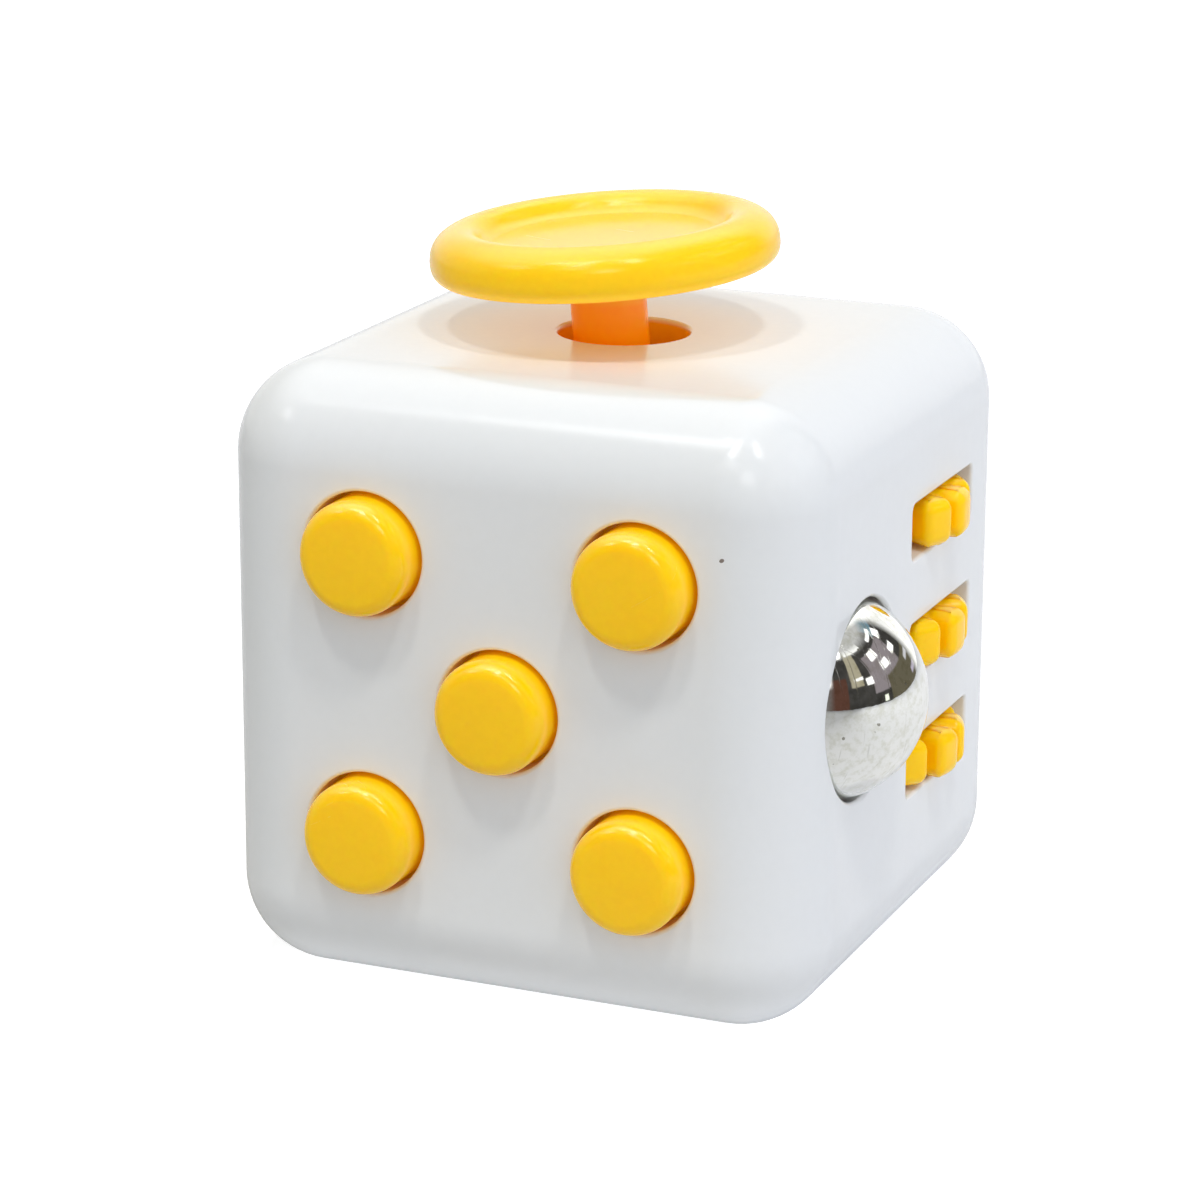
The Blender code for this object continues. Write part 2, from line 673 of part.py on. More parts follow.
def build_stick_frame(grey, steel):
    bm = bmesh.new()
    outline = (
        (-5.3, 0.6),
        (5.3, 0.6),
        (5.3, 13.6),
        (4.3, 13.6),
        (4.3, 1.6),
        (-4.3, 1.6),
        (-4.3, 13.6),
        (-5.3, 13.6),
    )
    prism(bm, outline, "X", -1.6, 1.6)
    frame = add_object("stick_frame", bm, PIVOT, grey)
    bm = bmesh.new()
    prism(bm, rectangle(-6.4, -6.4, 6.4, 6.4, 1.0), "Z", 13.2, 14.2)
    carve(frame, bm, "stick_frame_top", "UNION")
    bm = bmesh.new()
    rod(bm, 4.1, 12.9, 15.0, "Z", (0, 0, 0), 28)
    rod(bm, PIN_HOLE, -7.0, -3.9, "Y", PIVOT, 12)
    rod(bm, PIN_HOLE, 3.9, 7.0, "Y", PIVOT, 12)
    for x in (-STICK_SCREW, STICK_SCREW):
        for y in (-STICK_SCREW, STICK_SCREW):
            rod(bm, POST_BORE, 12.0, 15.0, "Z", (x, y, 0), 10)
    carve(frame, bm, "stick_frame_holes")
    number = 0
    for x in (-STICK_SCREW, STICK_SCREW):
        for y in (-STICK_SCREW, STICK_SCREW):
            number += 1
            screw(f"stick_screw_{number}", (x, y, 12.9), "Z", 2.7, steel)


# Rocker switch


def build_rocker(yellow, grey, steel):
    axis = (0, ROCKER_AXIS_Y, 0)
    half = (
        (2.7, 0.0),
        (2.8, 1.6),
        (3.15, 3.6),
        (3.7, 5.4),
        (3.55, 5.7),
        (1.0, 5.5),
        (0.2, 4.6),
        (-0.6, 2.0),
        (-1.5, 1.0),
        (-2.4, 0.35),
    )
    outline = [(y + ROCKER_AXIS_Y, z) for y, z in half]
    outline += [(y + ROCKER_AXIS_Y, -z) for y, z in reversed(half[1:])]
    lean = Matrix.Rotation(math.radians(-ROCKER_LEAN), 3, "X")
    bm = bmesh.new()
    prism(bm, outline, "X", -ROCKER_HALF_WIDTH, ROCKER_HALF_WIDTH)
    rocker = add_object("rocker", bm, axis, yellow, lean)
    bm = bmesh.new()
    rod(bm, ROCKER_PIN_RADIUS + 0.1, -5.0, 5.0, "X", axis, 16)
    carve(rocker, bm, "rocker_bore")

    bm = bmesh.new()
    rod(bm, ROCKER_PIN_RADIUS, -5.2, 5.2, "X", axis, 14)
    add_object("rocker_pin", bm, axis, steel)

    bm = bmesh.new()
    block(bm, (-5.3, 9.4, -9.9), (5.3, 10.2, 9.9))
    cradle = add_object("rocker_cradle", bm, (0, 9.4, 0), grey)
    bm = bmesh.new()
    block(bm, (-5.3, 9.8, -2.2), (-4.3, 14.2, 2.2))
    block(bm, (4.3, 9.8, -2.2), (5.3, 14.2, 2.2))
    carve(cradle, bm, "cradle_ears", "UNION")
    bm = bmesh.new()
    rod(bm, ROCKER_PIN_RADIUS + 0.1, -7.0, 7.0, "X", axis, 16)
    for z in (-CRADLE_SCREW_Z, CRADLE_SCREW_Z):
        rod(bm, POST_BORE, 8.5, 11.0, "Y", (0, 0, z), 10)
    carve(cradle, bm, "cradle_holes")
    for name, z in (("top", CRADLE_SCREW_Z), ("bottom", -CRADLE_SCREW_Z)):
        screw(f"cradle_screw_{name}", (0, 9.1, z), "Y", 3.7, steel)

    bm = bmesh.new()
    upper, lower = [], []
    for step in range(13):
        z = -4.8 + 9.6 * step / 12
        rise = 0.24 * math.cos(math.pi * z / 9.6) + 0.06 * math.cos(math.pi * z / 1.6) * (abs(z) < 1.0)
        upper.append((10.72 + rise, z))
        lower.append((10.52 + rise, z))
    prism(bm, upper + lower[::-1], "X", -1.5, 1.5)
    add_object("rocker_leaf_spring", bm, (0, 10.5, 0), steel)


# Dial


def build_dial(yellow, steel, grey):
    knob = (
        (0, 18.55),
        (3.6, 18.6),
        (5.0, 18.8),
        (5.6, 19.0),
        (6.1, 19.05),
        (6.5, 18.9),
        (DIAL_RADIUS, 18.5),
        (DIAL_RADIUS, 16.5),
        (6.4, 16.05),
        (SHAFT_RADIUS, 16.05),
        (SHAFT_RADIUS, 13.3),
        (1.5, 13.3),
        (1.5, 12.7),
        (SHAFT_RADIUS, 12.7),
        (1.8, 12.2),
        (0, 12.2),
    )
    bm = bmesh.new()
    lathe(bm, knob, "-X", (0, 0, 0), 2 * DIAL_RIDGES, RIDGE_DEPTH, (6, 7))
    dial = add_object("dial_knob", bm, (-HALF, 0, 0), yellow)
    bm = bmesh.new()
    profile = []
    for step in range(9):
        angle = math.pi * step / 8
        radius = 2.5 * math.sin(angle) if 0 < step < 8 else 0
        profile.append((radius, 2.5 * math.cos(angle)))
    lathe(bm, profile, "X", (-20.5, 0, 3.4), 16)
    carve(dial, bm, "dial_dimple")
    bm = bmesh.new()
    ring(bm, SHAFT_RADIUS + 0.15, 3.7, 13.7, 14.2, "-X", (0, 0, 0), 24)
    add_object("dial_washer", bm, (-14.2, 0, 0), grey)
    bm = bmesh.new()
    clip(bm, 1.62, 3.0, 12.83, 13.17, "-X", (0, 0, 0))
    add_object("dial_clip", bm, (-13.0, 0, 0), steel)


def main():
    clear_scene()
    white = make_material("shell_white", (0.86, 0.87, 0.87), 0.32)
    yellow = make_material("toy_yellow", (0.9, 0.48, 0.02), 0.3)
    chrome = make_material("ball_chrome", (0.8, 0.8, 0.8), 0.06, 1.0)
    steel = make_material("spring_steel", (0.56, 0.56, 0.55), 0.32, 1.0)
    grey = make_material("frame_grey", (0.62, 0.63, 0.64), 0.5)
    rubber = make_material("dome_rubber", (0.3, 0.3, 0.3), 0.8)
    build_front_shell(white)
    build_rear_shell(white)
    build_buttons(yellow, steel, rubber)
    build_button_plate(grey, steel)
    build_ball(chrome, grey, steel)
    build_side_frame(grey, steel)
    build_gears(yellow, steel, grey)
    build_stick(yellow, grey, steel)
    build_stick_frame(grey, steel)
    build_rocker(yellow, grey, steel)
    build_dial(yellow, steel, grey)


main()
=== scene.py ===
import math

import bmesh
import bpy
from mathutils import Matrix, Vector


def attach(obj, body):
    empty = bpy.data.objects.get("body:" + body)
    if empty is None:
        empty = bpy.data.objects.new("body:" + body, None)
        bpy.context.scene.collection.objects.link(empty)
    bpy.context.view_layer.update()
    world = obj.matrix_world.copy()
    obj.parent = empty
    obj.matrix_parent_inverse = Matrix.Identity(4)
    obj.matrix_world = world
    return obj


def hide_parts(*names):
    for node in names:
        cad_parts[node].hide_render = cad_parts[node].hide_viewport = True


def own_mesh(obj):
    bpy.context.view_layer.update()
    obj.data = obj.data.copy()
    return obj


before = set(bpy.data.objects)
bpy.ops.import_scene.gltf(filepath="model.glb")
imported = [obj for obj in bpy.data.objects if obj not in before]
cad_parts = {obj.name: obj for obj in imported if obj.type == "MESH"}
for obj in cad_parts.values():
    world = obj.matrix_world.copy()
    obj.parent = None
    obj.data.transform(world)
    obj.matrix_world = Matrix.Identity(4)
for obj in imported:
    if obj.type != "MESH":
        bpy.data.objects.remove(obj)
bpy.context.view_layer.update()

# The looks of the fidget cube. Shapes are in millimetres from the cube's centre, as in part.py: +X is the
# ball and gear face, -Y the button face, +Z the disc's face. put() turns them into metres on Z = 0.

MM = 0.001
HALF = 16.5
CORNER_RADIUS = 5.0
CORNER_STEPS = 18
INNER_HALF = 14.5
INNER_FLOOR = -12.7
INNER_RADIUS = 2.0
INNER_STEPS = 6
SEAM = 11.3
SEAM_GAP = 0.2
SEAM_GROOVE = 0.24
FAR = 30.0
CUTTER_START = 13.5
SLOT_START = 13.0
POST_RADIUS = 1.4
POST_ROOT = 15.5
POST_BORE = 0.55
POST_GAP = 0.3
PLATE_BORE_END = -14.2
FRAME_BORE_END = 10.5
STICK_BORE_END = 15.8
CRADLE_POST_START = 10.5
CRADLE_BORE = (10.0, 13.2)
TAB_HALF_WIDTH = 3.0
TAB_GAP = 0.3
TAB_DEPTH = 1.1
TAB_SINK = 0.5
TAB_BACK = 2.0
TAB_REACH = 2.2
LIP = 0.24
LIP_STEPS = 6
LIP_SINK = 0.004
PAST_FACE = 1.5
SMOOTH_DEG = 34
FINE_STEPS = 128

DISH_RADIUS = 9.5
DISH_DEPTH = 1.8
DISH_LIP = 1.5

BUTTON_SPACING = 7.5
BUTTON_CENTRES = ((-1, 1), (1, 1), (0, 0), (-1, -1), (1, -1))
BUTTON_HOLE = 3.28
CAP_TOP = 18.27
CAP_CROWN = 0.07
CAP_CROWN_STEPS = 8
CAP_FLAT = 2.12
CAP_SHOULDER = (0.91, 0.9)
CAP_SHOULDER_MIDDLE = 17.3
CAP_SHOULDER_STEPS = 14
CAP_SKIRT = ((3.03, 16.2), (3.03, 14.2), (3.7, 14.2), (3.7, 13.4), (1.0, 13.4), (1.0, 13.0), (0, 13.0))
CLICK_BUTTONS = (1, 3, 4)
DOME_FOOT = 11.8
PLATE_FRONT = -11.5
PLATE_SCREWS = ((0.0, 10.8), (0.0, -10.8), (-11.8, 0.0))

BALL_CENTRE = (14.2, -7.5, 0.2)
BALL_RADIUS = 5.5
BALL_HOLE = 5.3
BALL_SEAT = 5.975
BALL_STEPS = 72
SPRING_MIDDLE = 6.85
SPRING_WAVE = 0.28
SPRING_WAVES = 3

GEAR_AXIS = (12.2, 4.68)
GEAR_MIDDLE = 0.6
GEAR_PITCH = 6.56
GEAR_TURNS = {"bottom": 19.9, "middle": 27.7, "top": 4.4}
GEAR_TEETH = 12
GEAR_RADIUS = 5.6
GEAR_ROOT = 4.15
GEAR_HALF_WIDTH = 1.3
GEAR_BORE = 1.15
GEAR_EDGE = 0.72
GEAR_EDGE_STEPS = 6
TOOTH_HALF_DEG = 10.6
TIP_ROUNDING = 0.8
ROOT_ROUNDING = 0.3
SLOT_HALF_LENGTH = 4.96
SLOT_HALF_HEIGHT = 1.5
SLOT_CORNER = 0.4
SLOT_LIP = 0.2
SLOT_RELIEF = (0.8, 0.25)
SLOT_RELIEF_END = 15.2
FRAME_FRONT = 6.1
FRAME_SCREWS = ((-8.0, 8.8), (-8.0, -8.4))

PIVOT = (0.0, 0.0, 7.2)
STICK_LEAN_LEFT = 4.1
STICK_LEAN_FRONT = 1.5
STICK_HOLE = 3.5
STEM_RADIUS = 2.03
DISC_HEIGHT = 14.0
DISC_UNDER = 1.46
STEM_FILLET = 0.75
PIN_HOLE = 0.55
STICK_SCREW = 5.3

ROCKER_AXIS_Y = 13.6
ROCKER_LEAN = 7.0
ROCKER_HALF_WIDTH = 3.7
ROCKER_EDGE = 0.25
ROCKER_BORE = 0.7
ROCKER_HOLE = (-4.0, -6.4, 4.0, 6.4)
ROCKER_HOLE_CORNER = 1.0
CRADLE_SCREW_Z = 8.6

DIAL_RADIUS = 6.75
DIAL_RIDGES = 24
RIDGE_DEPTH = 0.28
DIAL_RECESS = 7.2
DIAL_FLOOR = 15.7
DIAL_BORE = 2.25
DIAL_BORE_START = 12.5
SHAFT_RADIUS = 2.0
FINGER_DISH = (1.55, 0.57, 0.2, 18.585)
FINGER_DISH_Z = 3.4

AXES = {"X": (1, 0, 0), "Y": (0, 1, 0), "Z": (0, 0, 1), "-X": (-1, 0, 0), "-Y": (0, -1, 0), "-Z": (0, 0, -1)}


# Mesh helpers


def put(name, bm, turn=None, pivot=(0, 0, 0)):
    """An object from a bmesh in cube millimetres, turned about a pivot if asked."""
    bmesh.ops.recalc_face_normals(bm, faces=bm.faces)
    if turn is not None:
        shift = Matrix.Translation(Vector(pivot))
        bmesh.ops.transform(bm, matrix=shift @ turn.to_4x4() @ shift.inverted(), verts=bm.verts)
    bmesh.ops.translate(bm, verts=bm.verts, vec=(0, 0, HALF))
    bmesh.ops.scale(bm, verts=bm.verts, vec=(MM, MM, MM))
    mesh = bpy.data.meshes.new(name)
    bm.to_mesh(mesh)
    bm.free()
    obj = bpy.data.objects.new(name, mesh)
    bpy.context.scene.collection.objects.link(obj)
    return obj


def cut(obj, bm, operation="DIFFERENCE"):
    """Applies one Boolean to obj's mesh and leaves no cutter behind."""
    tool = put("tool", bm)
    modifier = obj.modifiers.new("cut", "BOOLEAN")
    modifier.operation = operation
    modifier.solver = "EXACT"
    modifier.object = tool
    graph = bpy.context.evaluated_depsgraph_get()
    made = bpy.data.meshes.new_from_object(obj.evaluated_get(graph), depsgraph=graph)
    obj.modifiers.clear()
    before = obj.data
    obj.data = made
    bpy.data.meshes.remove(before)
    tool_mesh = tool.data
    bpy.data.objects.remove(tool)
    bpy.data.meshes.remove(tool_mesh)


def dress(obj, material, body, slot, *nodes):
    """Smooths obj, gives it its material and ties it to its CAD body and nodes."""
    obj.data.shade_smooth()
    obj.data.set_sharp_from_angle(angle=math.radians(SMOOTH_DEG))
    weighted = obj.modifiers.new("flat faces stay flat", "WEIGHTED_NORMAL")
    weighted.keep_sharp = True
    obj.data.materials.clear()
    obj.data.materials.append(material)
    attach(obj, body)
    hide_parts(*nodes)


def axis_turn(axis):
    return Vector((0, 0, 1)).rotation_difference(Vector(AXES[axis])).to_matrix()


def lathe(bm, profile, axis, centre, steps=96, reach=None):
    """Turns (radius, height) points about an axis.

    reach(number, angle, radius) may give another radius for a point of the profile at an angle.
    """
    spin = axis_turn(axis)
    rings = []
    for number, (radius, height) in enumerate(profile):
        if radius == 0:
            rings.append([bm.verts.new(spin @ Vector((0, 0, height)) + Vector(centre))])
            continue
        ring = []
        for step in range(steps):
            angle = 2 * math.pi * step / steps
            out = reach(number, angle, radius) if reach else radius
            point = Vector((out * math.cos(angle), out * math.sin(angle), height))
            ring.append(bm.verts.new(spin @ point + Vector(centre)))
        rings.append(ring)
    pairs = list(zip(rings, rings[1:]))
    if len(rings[0]) > 1:
        pairs.append((rings[-1], rings[0]))
    for first, second in pairs:
        for step in range(steps):
            after = (step + 1) % steps
            corners = [first[step % len(first)], first[after % len(first)]]
            corners += [second[after % len(second)], second[step % len(second)]]
            bm.faces.new(list(dict.fromkeys(corners)))


def rod(bm, radius, low, high, axis, centre, steps=24):
    lathe(bm, ((0, low), (radius, low), (radius, high), (0, high)), axis, centre, steps)


def placed(axis, a, b, along):
    """The point with a and b on the two other axes, in X, Y, Z order, and along on this one."""
    return {"X": (along, a, b), "Y": (a, along, b), "Z": (a, b, along)}[axis]


def skin(bm, loops):
    """Joins each loop of corners to the next with a band of faces."""
    for first, second in zip(loops, loops[1:]):
        for one in range(len(first)):
            two = (one + 1) % len(first)
            bm.faces.new((first[one], first[two], second[two], second[one]))


def stack(bm, outlines, axis):
    """Skins (outline, height) layers of equal counts and closes both ends."""
    loops = [[bm.verts.new(placed(axis, a, b, height)) for a, b in outline] for outline, height in outlines]
    bm.faces.new(loops[0])
    bm.faces.new(loops[-1])
    skin(bm, loops)


def prism(bm, outline, axis, low, high):
    stack(bm, ((outline, low), (outline, high)), axis)


def rectangle(a_low, b_low, a_high, b_high, radius=0.0, steps=8):
    if not radius:
        return [(a_low, b_low), (a_high, b_low), (a_high, b_high), (a_low, b_high)]
    corners = (
        (a_high - radius, b_high - radius, 0),
        (a_low + radius, b_high - radius, 90),
        (a_low + radius, b_low + radius, 180),
        (a_high - radius, b_low + radius, 270),
    )
    points = []
    for a, b, start in corners:
        points += arc(a, b, radius, start, start + 90, steps)
    return points


def block(bm, low, high):
    prism(bm, rectangle(low[0], low[1], high[0], high[1]), "Z", low[2], high[2])


def rounded_block(bm, low, high, radius, steps):
    block(bm, low, high)
    bmesh.ops.recalc_face_normals(bm, faces=bm.faces)
    bevel = {"offset": radius, "offset_type": "OFFSET", "segments": steps, "profile": 0.5, "affect": "EDGES"}
    bmesh.ops.bevel(bm, geom=bm.edges[:], **bevel)


def arc(centre_a, centre_b, radius, start_deg, end_deg, steps):
    """Points of an arc, both ends included."""
    points = []
    for step in range(steps + 1):
        angle = math.radians(start_deg + (end_deg - start_deg) * step / steps)
        points.append((centre_a + radius * math.cos(angle), centre_b + radius * math.sin(angle)))
    return points


def spline(one, two, three, four, t):
    """The Catmull-Rom curve's value between two and three, at t from 0 to 1."""
    bend = (2 * one - 5 * two + 4 * three - four) * t * t
    return 0.5 * (2 * two + (three - one) * t + bend + (3 * two - one - 3 * three + four) * t**3)


def smooth_run(points, per_span):
    """A smooth curve through the points, with per_span points for each of its spans."""
    padded = [points[0], *points, points[-1]]
    out = []
    for span in zip(padded, padded[1:], padded[2:], padded[3:]):
        for step in range(per_span):
            out.append(tuple(spline(*(point[k] for point in span), step / per_span) for k in (0, 1)))
    out.append(points[-1])
    return out


def round_corners(points, radius, steps=5):
    """A closed outline with each corner rounded; radius is one number, or one for each corner."""
    out = []
    count = len(points)
    for number in range(count):
        corner = Vector(points[number])
        before = Vector(points[number - 1]) - corner
        after = Vector(points[(number + 1) % count]) - corner
        size = radius[number] if isinstance(radius, (list, tuple)) else radius
        angle = before.angle(after)
        reach = min(size / math.tan(angle / 2), 0.48 * before.length, 0.48 * after.length)
        start = corner + before.normalized() * reach
        end = corner + after.normalized() * reach
        if reach < 1e-4:
            out.append(tuple(corner))
            continue
        for step in range(steps + 1):
            t = step / steps
            point = start * (1 - t) ** 2 + corner * 2 * t * (1 - t) + end * t * t
            out.append(tuple(point))
    return out


def inset(points, distance):
    """The closed outline moved inwards by distance, for an outline that runs anticlockwise."""
    out = []
    count = len(points)
    for number in range(count):
        here = Vector(points[number])
        back = (here - Vector(points[number - 1])).normalized()
        ahead = (Vector(points[(number + 1) % count]) - here).normalized()
        normal_back = Vector((-back.y, back.x))
        normal_ahead = Vector((-ahead.y, ahead.x))
        middle = (normal_back + normal_ahead).normalized()
        stretch = 1 / max(0.5, middle.dot(normal_back))
        out.append(tuple(here + middle * distance * stretch))
    return out


def anticlockwise(points):
    area = sum(a[0] * b[1] - b[0] * a[1] for a, b in zip(points, points[1:] + points[:1]))
    return points if area > 0 else points[::-1]


def soft_prism(bm, outline, axis, low, high, edge, steps=5):
    """An extruded outline whose two end edges are rounded by edge."""
    outline = anticlockwise(outline)
    layers = []
    for step in range(steps + 1):
        turn = math.radians(90 * step / steps)
        layers.append((inset(outline, edge * (1 - math.sin(turn))), low + edge * (1 - math.cos(turn))))
    for outline_here, height in list(reversed(layers)):
        layers.append((outline_here, low + high - height))
    stack(bm, layers, axis)


def lip_levels(lip=LIP):
    """(growth, depth below the face) from the straight wall out to the face, and a little past it."""
    for step in range(LIP_STEPS + 1):
        turn = math.radians(90 * step / LIP_STEPS)
        yield lip * (1 - math.cos(turn)), lip * (1 - math.sin(turn)) - LIP_SINK


def round_hole(bm, radius, deep, face, axis, centre, steps=96, start=None):
    """A cutter for a round hole whose edge at the face is rounded. start is the radius at its deep end."""
    profile = [(0, deep), (start or radius, deep)]
    profile += [(radius + grow, face - depth) for grow, depth in lip_levels()]
    profile += [(radius + LIP, face + PAST_FACE), (0, face + PAST_FACE)]
    lathe(bm, profile, axis, centre, steps)


def round_slot(bm, box, corner, deep, face, axis, lip):
    """A cutter for a rectangular hole whose edge at the face is rounded.

    box is its lowest and its highest two coordinates, in one row of four.
    """

    def grown(grow):
        return rectangle(box[0] - grow, box[1] - grow, box[2] + grow, box[3] + grow, corner + grow)

    layers = [(grown(0), deep)]
    layers += [(grown(grow), face - depth) for grow, depth in lip_levels(lip)]
    layers.append((grown(lip), face + PAST_FACE))
    stack(bm, layers, axis)


def dish_profile(radius, depth, lip, face, steps=24, lip_steps=8):
    """A cutter's profile for a ball-shaped dish with a rounded edge, as (radius, height) points."""
    ball = (radius**2 + depth**2) / (2 * depth)
    middle = face - depth + ball
    rim = math.sqrt((ball + lip) ** 2 - (middle - face + lip) ** 2)
    tangent = math.asin(rim / (ball + lip))
    points = [(0, face - depth)]
    for step in range(1, steps + 1):
        angle = tangent * step / steps
        points.append((ball * math.sin(angle), middle - ball * math.cos(angle)))
    for step in range(1, lip_steps + 1):
        angle = tangent * (1 - step / lip_steps)
        height = face - lip + lip * math.cos(angle) + LIP_SINK * step / lip_steps
        points.append((rim - lip * math.sin(angle), height))
    points += [(rim, face + 2), (0, face + 2)]
    return points


def tube(bm, points, radius, sides=12):
    """A closed round tube along a loop of points, mitred at its corners."""
    sections = []
    count = len(points)
    for number in range(count):
        here = Vector(points[number])
        back = (here - Vector(points[number - 1])).normalized()
        ahead = (Vector(points[(number + 1) % count]) - here).normalized()
        along = (back + ahead).normalized()
        bend = ahead - back
        stretch = 1 / max(0.3, along.dot(ahead))
        bent = bend.length > 1e-6
        side = bend.normalized() if bent else here.cross(along).normalized()
        side = (side - along * side.dot(along)).normalized()
        sections.append((here, side, along.cross(side), stretch if bent else 1.0))
    rings = []
    guide = None
    for here, side, other, stretch in sections:
        along = side.cross(other)
        if guide is None:
            guide = other
        guide = (guide - along * guide.dot(along)).normalized()
        ring = []
        for number in range(sides):
            angle = 2 * math.pi * number / sides
            flat = guide * math.cos(angle) + along.cross(guide) * math.sin(angle)
            flat = side * flat.dot(side) * stretch + other * flat.dot(other)
            ring.append(bm.verts.new(here + flat * radius))
        rings.append(ring)
    best = min(range(sides), key=lambda k: (rings[-1][0].co - rings[0][k].co).length)
    rings.append(rings[0][best:] + rings[0][:best])
    skin(bm, rings)


# Materials. Colours are linear, noise scales are per metre and places are in metres.

# Painted glows: the yellow parts carry an amber emission that stands for light passing through the plastic.
CAP_SIDE_FOR_PAINTED_GLOW = (0.5, 0.05)
YELLOW_PAINTED_GLOW = (0.05, 0.16)
DISC_UNDERSIDE = (-0.3, -0.95)
DISC_PAINTED_GLOW = 0.03
UNDERSIDE_PAINTED_GLOW = 0.26
STEM_PAINTED_GLOW = 0.12
STEM_TOP = (0.0356, 0.0346)
PAINTED_GLOW_AMBER = (1.0, 0.3, 0.0)
# Painted glow: an orange colour on the wall of the stem's hole, standing for light from the disc and stem.
HOLE_WALL_PAINTED_GLOW = (1.0, 0.55, 0.01)
HOLE_EDGE = (0.0039, 0.0037)
HOLE_TOP = (0.03295, 0.0327)
HOLE_DEPTH = (0.0290, 0.0295)
SCRATCH_ACROSS = 7000


class Graph:
    """Short forms for the nodes that the materials share."""

    def __init__(self, tree):
        self.tree = tree
        place = tree.nodes.new("ShaderNodeTexCoord")
        self.coordinates = place.outputs["Object"]
        self.normals = place.outputs["Normal"]

    def fill(self, node, values):
        """Sets a node's inputs, by name or number, to values, or links them to sockets."""
        for name, value in values.items():
            if isinstance(value, bpy.types.NodeSocket):
                self.tree.links.new(value, node.inputs[name])
            else:
                node.inputs[name].default_value = value

    def add(self, kind, values, **modes):
        node = self.tree.nodes.new("ShaderNode" + kind)
        for name, mode in modes.items():
            setattr(node, name, mode)
        self.fill(node, values)
        return node

    def split(self, vector):
        """The X, Y and Z sockets of a vector."""
        return tuple(self.add("SeparateXYZ", {0: vector}).outputs)

    def stretched(self, scale, vector=None):
        values = {"Vector": vector or self.coordinates, "Scale": scale}
        return self.add("Mapping", values).outputs["Vector"]

    def noise(self, scale, detail=3.0, roughness=0.5, vector=None):
        values = {"Scale": scale, "Detail": detail, "Roughness": roughness}
        return self.add("TexNoise", {**values, "Vector": vector or self.coordinates}).outputs["Fac"]

    def ramp(self, value, low, high, start=0.0, end=1.0):
        values = {"Value": value, "From Min": low, "From Max": high, "To Min": start, "To Max": end}
        return self.add("MapRange", values).outputs["Result"]

    def math(self, operation, one, two=0.0):
        return self.add("Math", {0: one, 1: two}, operation=operation).outputs["Value"]

    def times(self, one, two):
        return self.math("MULTIPLY", one, two)

    def plus(self, one, two):
        return self.math("ADD", one, two)

    def mix(self, factor, one, two):
        """Mixes two colours, each a socket or three numbers."""
        one, two = ((*value, 1.0) if isinstance(value, tuple) else value for value in (one, two))
        return self.add("Mix", {0: factor, 6: one, 7: two}, data_type="RGBA").outputs[2]

    def bump(self, height, strength, distance):
        values = {"Strength": strength, "Distance": distance, "Height": height}
        return self.add("Bump", values).outputs["Normal"]


def new_material(name, colour, roughness, metallic=0.0):
    material = bpy.data.materials.new(name)
    material.use_nodes = True
    graph = Graph(material.node_tree)
    shader = material.node_tree.nodes["Principled BSDF"]
    graph.fill(shader, {"Base Color": (*colour, 1.0), "Roughness": roughness, "Metallic": metallic})
    return material, graph, shader


def flecks(graph, cells, size, share):
    """1 on a small dot in some of the cells, 0 elsewhere. cells is per metre, size a share of a cell."""
    wobble = graph.add("TexNoise", {"Scale": cells * 3, "Vector": graph.coordinates})
    small = graph.add("VectorMath", {0: wobble.outputs["Color"], "Scale": 0.25 / cells}, operation="SCALE")
    warped = graph.add("VectorMath", {0: graph.coordinates, 1: small.outputs[0]}, operation="ADD")
    cell = graph.add("TexVoronoi", {"Scale": cells, "Vector": warped.outputs[0]})
    random = graph.add("SeparateColor", {0: cell.outputs["Color"]})
    chosen = graph.ramp(random.outputs[0], 1 - share, 1 - share + 0.01)
    varied = graph.ramp(random.outputs[1], 0.0, 1.0, size * 0.35, size)
    dot = graph.math("LESS_THAN", cell.outputs["Distance"], varied)
    return graph.times(dot, chosen)


def scratches(graph, turn_deg, low, along=110):
    """Thin straight marks, from 0 to 1, which cross every face as lines. along is per metre."""
    angles = [math.radians(angle) for angle in turn_deg]
    turned = graph.add("Mapping", {"Vector": graph.coordinates, "Rotation": angles})
    sheets = graph.stretched((along, SCRATCH_ACROSS, 0), turned.outputs["Vector"])
    return graph.ramp(graph.noise(1.0, 1.0, 0.5, sheets), low, low + 0.06)


def tinted(graph, base, grain):
    """base times grain, two colour sockets."""
    return graph.add("Mix", {0: 1.0, 6: base, 7: grain}, data_type="RGBA", blend_type="MULTIPLY").outputs[2]


def painted_glow_on_hole_wall(graph):
    """1 on the wall of the hole that the stem comes out of, 0 elsewhere: where an orange glow from the disc
    and stem is painted into the colour.
    """
    x, y, z = graph.split(graph.coordinates)
    flat = graph.add("CombineXYZ", {"X": x, "Y": y})
    length = graph.add("VectorMath", {0: flat.outputs[0]}, operation="LENGTH")
    inside = graph.ramp(length.outputs["Value"], *HOLE_EDGE)
    upper = graph.ramp(z, *HOLE_DEPTH)
    below = graph.ramp(z, *HOLE_TOP)
    return graph.times(inside, graph.times(upper, below))


